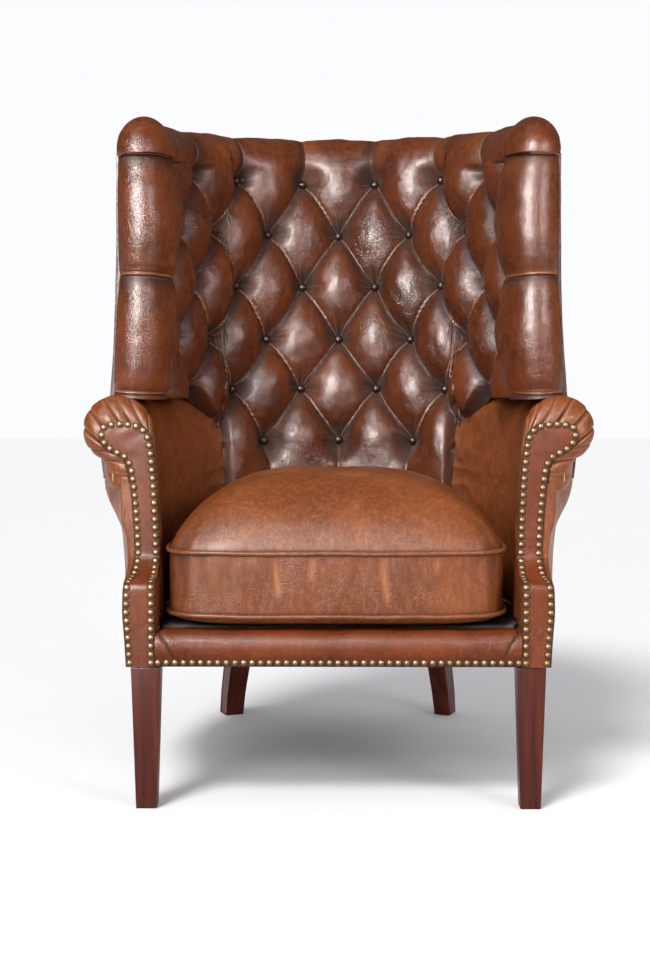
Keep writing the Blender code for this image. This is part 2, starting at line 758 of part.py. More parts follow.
def cushion_rim(size, corners=40):
    """The cushion's plan: square at its front, rounded at its back to fit the barrel."""
    found = []
    for i in range(corners):
        turn = 2 * math.pi * i / corners
        front = math.sin(turn) < 0
        power = 2 / (7.0 if front else 2.35)
        reach = CUSHION_FRONT if front else CUSHION_BACK
        x = CUSHION_HALF_WIDTH * math.copysign(abs(math.cos(turn)) ** power, math.cos(turn))
        y = reach * math.copysign(abs(math.sin(turn)) ** power, math.sin(turn))
        found.append((size * x, size * y))
    return found


def cushion_body(scale):
    """The cushion's closed surface about its own centre, scaled for the cover's wall or the core."""
    levels = (
        (0.30, CUSHION_BASE_Z),
        (0.75, CUSHION_BASE_Z + 0.0015),
        (0.93, CUSHION_BASE_Z + 0.009),
        (1.0, CUSHION_LOW_PIPING_Z),
        (1.006, 0.326),
        (1.006, 0.372),
        (1.0, CUSHION_TOP_PIPING_Z),
        (0.92, 0.430),
        (0.78, 0.466),
        (0.58, 0.492),
        (0.30, CUSHION_CROWN_Z),
    )
    rings = []
    for size, z in levels:
        rings.append([Vector((x, y, z - CUSHION_CENTRE_Z)) * scale for x, y in cushion_rim(size)])
    return loft(rings)


def cushion(materials):
    lift = bpy.data.objects.new("cushion_lift", None)
    lift.location = place(0, CUSHION_CENTRE_DEPTH, CUSHION_CENTRE_Z)
    bpy.context.scene.collection.objects.link(lift)
    cover = add_object("cushion_cover", cushion_body(1.0), materials["cushion_leather"], parent=lift)
    hollow = add_object("cushion_hollow", cushion_body(0.984), materials["filling"], parent=lift)
    back = CUSHION_BACK * 1.004
    slot_size, slot_place = (0.240, 0.030, 0.016), Vector((0, back - 0.004, -0.040))
    slot = add_object("zip_slot", box(slot_size, slot_place), materials["zip_tape"], parent=lift)
    for name, cutter in (("hollow", hollow), ("slot", slot)):
        cutter.hide_render = True
        cutter.display_type = "WIRE"
        cut = cover.modifiers.new(name, "BOOLEAN")
        cut.operation = "DIFFERENCE"
        cut.solver = "EXACT"
        cut.object = cutter
    add_object("cushion_core", cushion_body(0.978), materials["filling"], parent=lift)
    tape = box((0.239, 0.0012, 0.015), Vector((0, back - 0.0028, -0.040)))
    add_object("cushion_zip", tape, materials["zip_tape"], parent=lift)
    for word, z in (("top", CUSHION_TOP_PIPING_Z), ("lower", CUSHION_LOW_PIPING_Z)):
        cord = bpy.data.curves.new(f"cushion_piping_{word}", "CURVE")
        cord.dimensions = "3D"
        cord.bevel_depth = PIPING_RADIUS
        cord.bevel_resolution = 1
        cord.resolution_u = 1
        rim = cushion_rim(1.0, 60)
        spline = cord.splines.new("POLY")
        spline.points.add(len(rim) - 1)
        spline.use_cyclic_u = True
        clear = PIPING_RADIUS + 0.0016
        for corner, (x, y) in zip(spline.points, rim):
            out_x = math.copysign(clear, x) * min(abs(x) / 0.20, 1.0)
            out_y = math.copysign(clear, y) * min(abs(y) / 0.15, 1.0)
            corner.co = (x + out_x, y + out_y, z - CUSHION_CENTRE_Z, 1.0)
        cord.materials.append(materials["piping_leather"])
        made = bpy.data.objects.new(f"cushion_piping_{word}", cord)
        bpy.context.scene.collection.objects.link(made)
        made.parent = lift


def build():
    remove_all_objects()
    materials = make_materials()
    for word, side in sides():
        front_leg(f"front_leg_{word}", side, materials["mahogany"])
        back_leg(f"back_leg_{word}", side, materials["mahogany"])
    beech = materials["beech"]
    seat_rails(beech)
    corner_blocks(beech)
    arm_posts(beech)
    uprights(beech)
    shell_rails(beech)
    for i in range(SPRING_COUNT):
        x = SPRING_SPACING * (i - (SPRING_COUNT - 1) / 2)
        zigzag_spring(f"seat_spring_{i + 1}", x, materials["spring_steel"])
    seat_sheets(materials)
    tufted_pads(materials["back_leather"])
    wing_rolls(materials["back_leather"])
    arm_pads(materials["arm_leather"])
    outside_panels(materials)
    facings(materials["facing_leather"])
    front_border(materials["facing_leather"])
    nails(materials["nail_brass"])
    cushion(materials)


build()
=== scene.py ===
"""Looks of a buttoned leather barrel wing chair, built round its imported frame.

The upholstery is laid out on the same barrel as the frame: a distance along the inside of the
back from its middle, a height, and a share of the shell's thickness (0 inside, 1 outside).
"""

import logging
import math
from dataclasses import dataclass, field
from enum import Enum
from typing import Sequence

import bmesh
import bpy
import numpy as np
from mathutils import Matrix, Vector


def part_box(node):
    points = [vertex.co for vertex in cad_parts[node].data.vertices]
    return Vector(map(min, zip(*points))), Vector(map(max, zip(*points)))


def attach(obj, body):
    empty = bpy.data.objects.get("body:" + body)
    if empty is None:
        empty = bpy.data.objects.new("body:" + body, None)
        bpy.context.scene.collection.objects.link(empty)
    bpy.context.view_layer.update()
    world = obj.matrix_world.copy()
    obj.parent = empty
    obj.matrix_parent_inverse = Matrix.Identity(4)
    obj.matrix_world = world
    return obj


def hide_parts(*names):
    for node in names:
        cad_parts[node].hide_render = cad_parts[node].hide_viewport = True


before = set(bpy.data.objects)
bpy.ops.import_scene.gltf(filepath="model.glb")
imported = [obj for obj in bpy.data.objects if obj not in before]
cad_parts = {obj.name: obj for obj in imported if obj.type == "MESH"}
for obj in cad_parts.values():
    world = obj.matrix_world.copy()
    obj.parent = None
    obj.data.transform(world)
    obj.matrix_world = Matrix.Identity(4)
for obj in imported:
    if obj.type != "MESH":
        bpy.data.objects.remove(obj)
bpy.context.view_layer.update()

LOG = logging.getLogger("wing_chair")
Array = np.ndarray
Colour = tuple[float, float, float]


class Side(Enum):
    """The two sides of the chair, by the sign of X."""

    LEFT = -1
    RIGHT = 1

    @property
    def word(self) -> str:
        """The side's name in piece and node names."""
        return self.name.lower()


class Body(Enum):
    """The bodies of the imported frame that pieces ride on."""

    FRAME = "frame"
    CUSHION = "cushion"


# ---------------------------------------------------------------- small numeric helpers


def smooth_step(value: Array | float, low: float, high: float) -> Array:
    """Rises smoothly from 0 at low to 1 at high.

    Args:
        value: The numbers to map.
        low: Where the rise starts.
        high: Where it ends.

    Returns:
        The mapped numbers, between 0 and 1.
    """
    share = np.clip((np.asarray(value, float) - low) / (high - low), 0.0, 1.0)
    return share * share * (3 - 2 * share)


def cloud(x: Array, y: Array, seed: int, cells: int = 64) -> Array:
    """Smooth seeded value noise that repeats every `cells` units.

    Args:
        x: First coordinate, one unit to a lattice step.
        y: Second coordinate.
        seed: Seed of the lattice.
        cells: Lattice size.

    Returns:
        Noise between -1 and 1.
    """
    lattice = np.random.default_rng(seed).uniform(-1, 1, (cells, cells))
    column, row = np.floor(x).astype(int), np.floor(y).astype(int)
    across, up = smooth_step(x - column, 0, 1), smooth_step(y - row, 0, 1)
    column, row = column % cells, row % cells
    right, above = (column + 1) % cells, (row + 1) % cells
    low = lattice[row, column] * (1 - across) + lattice[row, right] * across
    high = lattice[above, column] * (1 - across) + lattice[above, right] * across
    return low * (1 - up) + high * up


def normals_of(points: Array) -> Array:
    """Unit normals of a grid of points.

    Args:
        points: Rows by columns by 3.

    Returns:
        The normals, rows by columns by 3, along columns cross rows.
    """
    across, up = np.gradient(points, axis=1), np.gradient(points, axis=0)
    normal = np.cross(across, up)
    length = np.linalg.norm(normal, axis=2, keepdims=True)
    return normal / np.maximum(length, 1e-12)


# ---------------------------------------------------------------- mesh helpers


def grid_mesh(points: Array) -> bmesh.types.BMesh:
    """A grid made by the operator and laid over rows by columns of points."""
    rows, columns = points.shape[:2]
    shape = bmesh.new()
    bmesh.ops.create_grid(shape, x_segments=columns - 1, y_segments=rows - 1, size=0.5)
    for corner, place in zip(shape.verts, points.reshape(-1, 3)):
        corner.co = place
    return shape


def add_piece(
    name: str,
    shape: bmesh.types.BMesh,
    material: bpy.types.Material,
    body: Body = Body.FRAME,
    sharp: float = 50.0,
    marks: dict[str, Array] | None = None,
    outwards: bool = True,
) -> bpy.types.Object:
    """Turns a bmesh into a piece that rides on a body.

    Args:
        name: The piece's name.
        shape: Its mesh, which this frees.
        material: Its material.
        body: The body that it rides on.
        sharp: Edges bent more than this many degrees stay sharp.
        marks: Numbers per vertex for the material, by attribute name.
        outwards: Whether to turn every face out first.

    Returns:
        The new object.
    """
    if outwards:
        bmesh.ops.recalc_face_normals(shape, faces=shape.faces)
    mesh = bpy.data.meshes.new(name)
    shape.to_mesh(mesh)
    shape.free()
    # per-vertex marks: worn is real wear, and the other is painted shade in folds, seams and pits
    for mark in ("worn", "fold"):
        layer = mesh.attributes.get(mark) or mesh.attributes.new(mark, "FLOAT", "POINT")
        given = (marks or {}).get(mark)
        if given is not None:
            values = np.zeros(len(mesh.vertices), np.float32)
            values[: given.size] = given.reshape(-1)[: values.size]
            layer.data.foreach_set("value", values)
    mesh.shade_smooth()
    mesh.set_sharp_from_angle(angle=math.radians(sharp))
    mesh.materials.append(material)
    piece = bpy.data.objects.new(name, mesh)
    bpy.context.scene.collection.objects.link(piece)
    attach(piece, body.value)
    LOG.info("%s: %d vertices on %s", name, len(mesh.vertices), body.value)
    return piece


def boundary_of(shape: bmesh.types.BMesh) -> list[bmesh.types.BMEdge]:
    """The open edges of a mesh."""
    return [edge for edge in shape.edges if len(edge.link_faces) == 1]


def walled_sheet(front: Array, back: Array) -> bmesh.types.BMesh:
    """A closed body between two grids of points that share their layout.

    Args:
        front: The shown skin, rows by columns by 3.
        back: The hidden skin behind it.

    Returns:
        The mesh, whose first vertices are the shown skin's, row by row.
    """
    shape = grid_mesh(front)
    shown = list(shape.verts)
    copied = bmesh.ops.duplicate(shape, geom=[*shape.verts, *shape.edges, *shape.faces])["vert_map"]
    for corner, place in zip(shown, back.reshape(-1, 3)):
        copied[corner].co = place
    bmesh.ops.bridge_loops(shape, edges=boundary_of(shape))
    return shape


def tube_mesh(rings: Array, capped: bool = True) -> bmesh.types.BMesh:
    """A skin over rings of points, each ring closed, with its two ends filled.

    Args:
        rings: Rings by corners by 3.
        capped: Whether to close the ends. Without it the last ring joins the first.

    Returns:
        The mesh.
    """
    closed = np.concatenate([rings, rings[:, :1]], axis=1)
    if not capped:
        closed = np.concatenate([closed, closed[:1]], axis=0)
    shape = grid_mesh(closed)
    bmesh.ops.remove_doubles(shape, verts=shape.verts, dist=1e-7)
    if capped:
        bmesh.ops.holes_fill(shape, edges=boundary_of(shape), sides=0)
    return shape


def sweep(path: Array, radius: float, corners: int = 10, closed: bool = False) -> bmesh.types.BMesh:
    """A round cord along a path.

    Args:
        path: Points by 3.
        radius: The cord's radius.
        corners: Corners of its section.
        closed: Whether its end joins its start.

    Returns:
        The mesh.
    """
    ahead = np.roll(path, -1, axis=0) - np.roll(path, 1, axis=0)
    if not closed:
        ahead[0], ahead[-1] = path[1] - path[0], path[-1] - path[-2]
    ahead /= np.linalg.norm(ahead, axis=1, keepdims=True)
    up = np.array([0.0, 0.0, 1.0])
    if np.abs(ahead[:, 2]).max() > 0.9:
        up = np.array([0.0, 1.0, 0.0])
    sideways = np.cross(ahead, up)
    sideways /= np.linalg.norm(sideways, axis=1, keepdims=True)
    upright = np.cross(sideways, ahead)
    turn = np.linspace(0, 2 * np.pi, corners, endpoint=False)
    rings = path[:, None] + radius * (
        np.cos(turn)[None, :, None] * sideways[:, None] + np.sin(turn)[None, :, None] * upright[:, None]
    )
    return tube_mesh(rings, capped=not closed)


# ---------------------------------------------------------------- shader building


class Board:
    """A node tree with short calls for adding and joining nodes."""

    def __init__(self, tree: bpy.types.NodeTree) -> None:
        """Starts with the tree as it is.

        Args:
            tree: The material's or the group's node tree.
        """
        self.tree = tree

    def add(self, kind: str, settings: dict | None = None, **inputs) -> bpy.types.Node:
        """Adds a node.

        Args:
            kind: The node's type.
            settings: Properties to set on it.
            **inputs: Values or sockets for its inputs, by name with underscores for spaces.

        Returns:
            The node.
        """
        node = self.tree.nodes.new(kind)
        for key, value in (settings or {}).items():
            setattr(node, key, value)
        for key, value in inputs.items():
            self.feed(node.inputs[key.replace("_", " ")], value)
        return node

    def feed(self, socket: bpy.types.NodeSocket, value) -> None:
        """Joins a socket to another socket, or sets its value."""
        if isinstance(value, bpy.types.NodeSocket):
            self.tree.links.new(value, socket)
        elif isinstance(value, tuple) and len(value) == 3 and socket.type == "RGBA":
            socket.default_value = (*value, 1.0)
        else:
            socket.default_value = value

    def maths(self, operation: str, *values, clamp: bool = False) -> bpy.types.NodeSocket:
        """The result of a Math node on one to three values or sockets."""
        node = self.tree.nodes.new("ShaderNodeMath")
        node.operation = operation
        node.use_clamp = clamp
        for socket, value in zip(node.inputs, values):
            self.feed(socket, value)
        return node.outputs[0]

    def mix(self, first, second, share) -> bpy.types.NodeSocket:
        """The colour between two colours at a share."""
        node = self.tree.nodes.new("ShaderNodeMix")
        node.data_type = "RGBA"
        self.feed(node.inputs[0], share)
        self.feed(node.inputs[6], first)
        self.feed(node.inputs[7], second)
        return node.outputs[2]

    def ranged(
        self, value, low: float, high: float, to_low: float, to_high: float
    ) -> bpy.types.NodeSocket:
        """A value mapped from one range to another and held inside it.

        Args:
            value: The value or socket to map.
            low: Where the first range starts.
            high: Where the first range ends.
            to_low: What low becomes.
            to_high: What high becomes.

        Returns:
            The socket of the mapped value.
        """
        node = self.add("ShaderNodeMapRange", {"clamp": True})
        for socket, number in zip(node.inputs, (value, low, high, to_low, to_high)):
            self.feed(socket, number)
        return node.outputs[0]


def new_group(
    name: str, inputs: dict[str, float], outputs: Sequence[str]
) -> tuple[bpy.types.NodeTree, Board, dict]:
    """An empty shader group with a vector input, number inputs and number outputs.

    Args:
        name: The group's name.
        inputs: Number inputs and their default values.
        outputs: Names of its outputs.

    Returns:
        The tree, a board on it, and its input and output nodes by "in" and "out".
    """
    tree = bpy.data.node_groups.new(name, "ShaderNodeTree")
    tree.interface.new_socket("Vector", in_out="INPUT", socket_type="NodeSocketVector")
    for word, value in inputs.items():
        socket = tree.interface.new_socket(word, in_out="INPUT", socket_type="NodeSocketFloat")
        socket.default_value = value
    for word in outputs:
        tree.interface.new_socket(word, in_out="OUTPUT", socket_type="NodeSocketFloat")
    board = Board(tree)
    ends = {"in": tree.nodes.new("NodeGroupInput"), "out": tree.nodes.new("NodeGroupOutput")}
    return tree, board, ends


def hide_grain_group() -> bpy.types.NodeTree:
    """Leather's pebbled grain: a height, masks of its fine dark pits, and wrinkles in patches."""
    tree, board, ends = new_group("hide_grain", {"Scale": 420.0}, ("Height", "Pits", "Wrinkles"))
    vector, scale = ends["in"].outputs["Vector"], ends["in"].outputs["Scale"]
    wobble = board.add("ShaderNodeTexNoise", Vector=vector, Scale=board.maths("MULTIPLY", scale, 0.5))
    bent = board.add("ShaderNodeVectorMath", {"operation": "MULTIPLY_ADD"})
    board.feed(bent.inputs[0], wobble.outputs["Color"])
    bent.inputs[1].default_value = (0.002, 0.002, 0.002)
    board.feed(bent.inputs[2], vector)
    cells = board.add(
        "ShaderNodeTexVoronoi", {"feature": "DISTANCE_TO_EDGE"}, Vector=bent.outputs[0], Scale=scale
    )
    edge = board.ranged(cells.outputs["Distance"], 0.0, 0.22, 0.0, 1.0)
    fine = board.add(
        "ShaderNodeTexNoise", Vector=vector, Scale=board.maths("MULTIPLY", scale, 1.7), Detail=3.0
    )
    height = board.maths("MULTIPLY_ADD", fine.outputs[0], 0.45, board.maths("MULTIPLY", edge, 0.55))
    board.feed(ends["out"].inputs["Height"], height)
    sparse = board.add(
        "ShaderNodeTexNoise", Vector=vector, Scale=board.maths("MULTIPLY", scale, 0.62), Detail=2.0
    )
    pits = board.ranged(sparse.outputs[0], 0.60, 0.72, 0.0, 1.0)
    board.feed(ends["out"].inputs["Pits"], pits)
    folds = []
    for share, bend in ((0.060, 1.6), (0.135, 0.9)):
        drawn = board.add(
            "ShaderNodeTexNoise",
            Vector=vector,
            Scale=board.maths("MULTIPLY", scale, share),
            Detail=2.5,
            Roughness=0.55,
            Distortion=bend,
        )
        away = board.maths("ABSOLUTE", board.maths("SUBTRACT", drawn.outputs[0], 0.5))
        folds.append(board.ranged(away, 0.0, 0.035, 1.0, 0.0))
    patch = board.add(
        "ShaderNodeTexNoise", Vector=vector, Scale=board.maths("MULTIPLY", scale, 0.022), Detail=1.0
    )
    lines = board.maths("MAXIMUM", folds[0], board.maths("MULTIPLY", folds[1], 0.6))
    shown = board.maths("MULTIPLY", lines, board.ranged(patch.outputs[0], 0.42, 0.62, 0.0, 1.0))
    board.feed(ends["out"].inputs["Wrinkles"], shown)
    return tree


def hand_wiped_group() -> bpy.types.NodeTree:
    """The uneven antique dye: broad clouds, middling blotches, and rubbed streaks."""
    tree, board, ends = new_group("hand_wiped", {"Scale": 9.0}, ("Cloud", "Blotch", "Streak"))
    vector, scale = ends["in"].outputs["Vector"], ends["in"].outputs["Scale"]
    broad = board.add("ShaderNodeTexNoise", Vector=vector, Scale=scale, Detail=4.0, Roughness=0.62)
    board.feed(ends["out"].inputs["Cloud"], board.ranged(broad.outputs[0], 0.34, 0.68, 0.0, 1.0))
    middling = board.add(
        "ShaderNodeTexNoise",
        Vector=vector,
        Scale=board.maths("MULTIPLY", scale, 5.5),
        Detail=5.0,
        Roughness=0.7,
        Distortion=0.6,
    )
    board.feed(ends["out"].inputs["Blotch"], board.ranged(middling.outputs[0], 0.42, 0.66, 0.0, 1.0))
    drawn = board.add("ShaderNodeMapping", Vector=vector)
    drawn.inputs["Scale"].default_value = (1.0, 1.0, 0.32)
    rubbed = board.add(
        "ShaderNodeTexNoise",
        Vector=drawn.outputs[0],
        Scale=board.maths("MULTIPLY", scale, 16.0),
        Detail=4.0,
        Roughness=0.65,
    )
    board.feed(ends["out"].inputs["Streak"], board.ranged(rubbed.outputs[0], 0.46, 0.70, 0.0, 1.0))
    return tree


def timber_group() -> bpy.types.NodeTree:
    """Straight wood grain that runs up the Z axis: a figure and fine pores."""
    tree, board, ends = new_group("timber", {"Scale": 60.0}, ("Figure", "Pores"))
    vector, scale = ends["in"].outputs["Vector"], ends["in"].outputs["Scale"]
    drawn = board.add("ShaderNodeMapping", Vector=vector)
    drawn.inputs["Scale"].default_value = (1.0, 1.0, 0.06)
    figure = board.add(
        "ShaderNodeTexNoise", Vector=drawn.outputs[0], Scale=scale, Detail=5.0, Roughness=0.6, Distortion=0.4
    )
    board.feed(ends["out"].inputs["Figure"], board.ranged(figure.outputs[0], 0.35, 0.65, 0.0, 1.0))
    pores = board.add(
        "ShaderNodeTexNoise", Vector=drawn.outputs[0], Scale=board.maths("MULTIPLY", scale, 14.0), Detail=2.0
    )
    board.feed(ends["out"].inputs["Pores"], board.ranged(pores.outputs[0], 0.55, 0.70, 0.0, 1.0))
    return tree


def weave_group() -> bpy.types.NodeTree:
    """A plain weave: threads over and under along X and Y."""
    tree, board, ends = new_group("plain_weave", {"Scale": 900.0}, ("Height", "Gaps"))
    vector, scale = ends["in"].outputs["Vector"], ends["in"].outputs["Scale"]
    split = board.add("ShaderNodeSeparateXYZ", Vector=vector)
    waves = []
    for axis in (0, 1):
        run = board.maths("ADD", split.outputs[axis], split.outputs[2])
        waves.append(board.maths("SINE", board.maths("MULTIPLY", run, scale)))
    height = board.maths("MAXIMUM", waves[0], waves[1])
    board.feed(ends["out"].inputs["Height"], height)
    board.feed(ends["out"].inputs["Gaps"], board.ranged(height, -0.2, 0.4, 1.0, 0.0))
    return tree


@dataclass(frozen=True)
class Groups:
    """The shader groups that the finishes share."""

    grain: bpy.types.NodeTree = field(default_factory=hide_grain_group)
    wiped: bpy.types.NodeTree = field(default_factory=hand_wiped_group)
    timber: bpy.types.NodeTree = field(default_factory=timber_group)
    weave: bpy.types.NodeTree = field(default_factory=weave_group)


def blank_material(name: str) -> tuple[bpy.types.Material, Board, bpy.types.Node, bpy.types.NodeSocket]:
    """A material with its shader and the object coordinates ready.

    Args:
        name: The material's name.

    Returns:
        The material, a board on its tree, the Principled shader and the coordinate socket.
    """
    material = bpy.data.materials.new(name)
    material.use_nodes = True
    board = Board(material.node_tree)
    shader = material.node_tree.nodes["Principled BSDF"]
    place = board.add("ShaderNodeTexCoord").outputs["Object"]
    return material, board, shader, place


@dataclass(frozen=True)
class LeatherFinish:
    """Antiqued leather, wiped by hand: lighter where it is rubbed, with painted shade darkening its folds,
    seams and pits.
    """

    name: str
    base: Colour
    dark: Colour
    worn: Colour
    roughness: float = 0.36
    clouding: float = 0.55
    blotching: float = 0.35
    rubbing: float = 0.25
    speckle: float = 0.25
    sheen: float = 0.24
    wrinkling: float = 0.0007
    grain_depth: float = 0.00022
    grain_scale: float = 460.0
    # near-black colour of the painted shade in folds, seams and pits
    fold_shade_colour: Colour = (0.012, 0.004, 0.003)

    def build(self, groups: Groups) -> bpy.types.Material:
        """Makes the material.

        Args:
            groups: The shared shader groups.

        Returns:
            The material.
        """
        material, board, shader, place = blank_material(self.name)
        grain = board.add(
            "ShaderNodeGroup", {"node_tree": groups.grain}, Vector=place, Scale=self.grain_scale
        )
        wiped = board.add("ShaderNodeGroup", {"node_tree": groups.wiped}, Vector=place)
        worn = board.add("ShaderNodeAttribute", {"attribute_name": "worn"}).outputs["Fac"]
        fold = board.add("ShaderNodeAttribute", {"attribute_name": "fold"}).outputs["Fac"]
        clouds = board.maths("MULTIPLY", wiped.outputs["Cloud"], self.clouding)
        colour = board.mix(self.base, self.dark, clouds)
        blotches = board.maths("MULTIPLY", wiped.outputs["Blotch"], self.blotching)
        colour = board.mix(colour, self.dark, blotches)
        rubbed = board.maths("MULTIPLY", wiped.outputs["Streak"], self.rubbing)
        colour = board.mix(colour, self.worn, rubbed)
        specks = board.maths("MULTIPLY", grain.outputs["Pits"], self.speckle)
        colour = board.mix(colour, self.dark, specks)
        colour = board.mix(colour, self.dark, board.maths("MULTIPLY", grain.outputs["Wrinkles"], 0.45))
        colour = board.mix(colour, self.worn, board.maths("MULTIPLY", worn, 0.95, clamp=True))
        # painted shade: the per-vertex shade mark darkens folds, seams and pits towards near black
        colour = board.mix(colour, self.fold_shade_colour, board.maths("MULTIPLY", fold, 0.96, clamp=True))
        board.feed(shader.inputs["Base Color"], colour)
        spread = board.maths("MULTIPLY_ADD", wiped.outputs["Blotch"], 0.13, self.roughness)
        rough = board.maths("MULTIPLY_ADD", fold, 0.70, spread, clamp=True)
        board.feed(shader.inputs["Roughness"], rough)
        creased = board.add(
            "ShaderNodeBump",
            {"invert": True},
            Height=grain.outputs["Wrinkles"],
            Distance=self.wrinkling,
            Strength=0.4,
        )
        bump = board.add(
            "ShaderNodeBump", Height=grain.outputs["Height"], Distance=self.grain_depth, Strength=1.0
        )
        board.feed(bump.inputs["Normal"], creased.outputs[0])
        board.feed(shader.inputs["Normal"], bump.outputs[0])
        shader.inputs["Specular IOR Level"].default_value = self.sheen
        shader.inputs["Coat Weight"].default_value = 0.04
        shader.inputs["Coat Roughness"].default_value = 0.20
        return material


@dataclass(frozen=True)
class TimberFinish:
    """Straight-grained wood, stained and lacquered or left bare."""

    name: str
    light: Colour
    dark: Colour
    roughness: float
    coat: float

    def build(self, groups: Groups) -> bpy.types.Material:
        """Makes the material.

        Args:
            groups: The shared shader groups.

        Returns:
            The material.
        """
        material, board, shader, place = blank_material(self.name)
        timber = board.add("ShaderNodeGroup", {"node_tree": groups.timber}, Vector=place)
        colour = board.mix(self.light, self.dark, timber.outputs["Figure"])
        colour = board.mix(colour, self.dark, board.maths("MULTIPLY", timber.outputs["Pores"], 0.6))
        fold = board.add("ShaderNodeAttribute", {"attribute_name": "fold"}).outputs["Fac"]
        # painted shade from the shade mark, near black in folds
        colour = board.mix(colour, (0.02, 0.006, 0.004), board.maths("MULTIPLY", fold, 0.8, clamp=True))
        board.feed(shader.inputs["Base Color"], colour)
        rough = board.maths("MULTIPLY_ADD", timber.outputs["Pores"], 0.15, self.roughness)
        board.feed(shader.inputs["Roughness"], rough)
        bump = board.add("ShaderNodeBump", Height=timber.outputs["Figure"], Distance=0.0002, Strength=0.5)
        board.feed(shader.inputs["Normal"], bump.outputs[0])
        shader.inputs["Specular IOR Level"].default_value = 0.15
        shader.inputs["Coat Weight"].default_value = self.coat
        shader.inputs["Coat Roughness"].default_value = 0.15
        return material


@dataclass(frozen=True)
class MetalFinish:
    """Metal with a dull patina, darker and duller towards its rims where the shade mark lies: partly patina,
    partly painted shade.
    """

    name: str
    bright: Colour
    patina: Colour
    roughness: float

    def build(self, groups: Groups) -> bpy.types.Material:
        """Makes the material.

        Args:
            groups: The shared shader groups, whose clouds shade the patina.

        Returns:
            The material.
        """
        material, board, shader, place = blank_material(self.name)
        wiped = board.add("ShaderNodeGroup", {"node_tree": groups.wiped}, Vector=place, Scale=60.0)
        fold = board.add("ShaderNodeAttribute", {"attribute_name": "fold"}).outputs["Fac"]
        # the shade mark darkens and dulls the rims: partly patina, partly painted shade
        dull = board.maths("MULTIPLY_ADD", wiped.outputs["Cloud"], 0.45, fold, clamp=True)
        board.feed(shader.inputs["Base Color"], board.mix(self.bright, self.patina, dull))
        board.feed(shader.inputs["Roughness"], board.maths("MULTIPLY_ADD", dull, 0.30, self.roughness))
        board.feed(shader.inputs["Metallic"], board.ranged(fold, 0.3, 1.0, 1.0, 0.35))
        return material


@dataclass(frozen=True)
class ClothFinish:
    """Plain woven cloth."""

    name: str
    thread: Colour
    gap: Colour
    scale: float = 1500.0

    def build(self, groups: Groups) -> bpy.types.Material:
        """Makes the material.

        Args:
            groups: The shared shader groups.

        Returns:
            The material.
        """
        material, board, shader, place = blank_material(self.name)
        weave = board.add("ShaderNodeGroup", {"node_tree": groups.weave}, Vector=place, Scale=self.scale)
        wiped = board.add("ShaderNodeGroup", {"node_tree": groups.wiped}, Vector=place)
        colour = board.mix(self.thread, self.gap, weave.outputs["Gaps"])
        colour = board.mix(colour, self.gap, board.maths("MULTIPLY", wiped.outputs["Blotch"], 0.25))
        board.feed(shader.inputs["Base Color"], colour)
        board.feed(shader.inputs["Roughness"], board.ranged(weave.outputs["Gaps"], 0.0, 1.0, 0.8, 0.95))
        bump = board.add("ShaderNodeBump", Height=weave.outputs["Height"], Distance=0.0004, Strength=0.8)
        board.feed(shader.inputs["Normal"], bump.outputs[0])
        return material


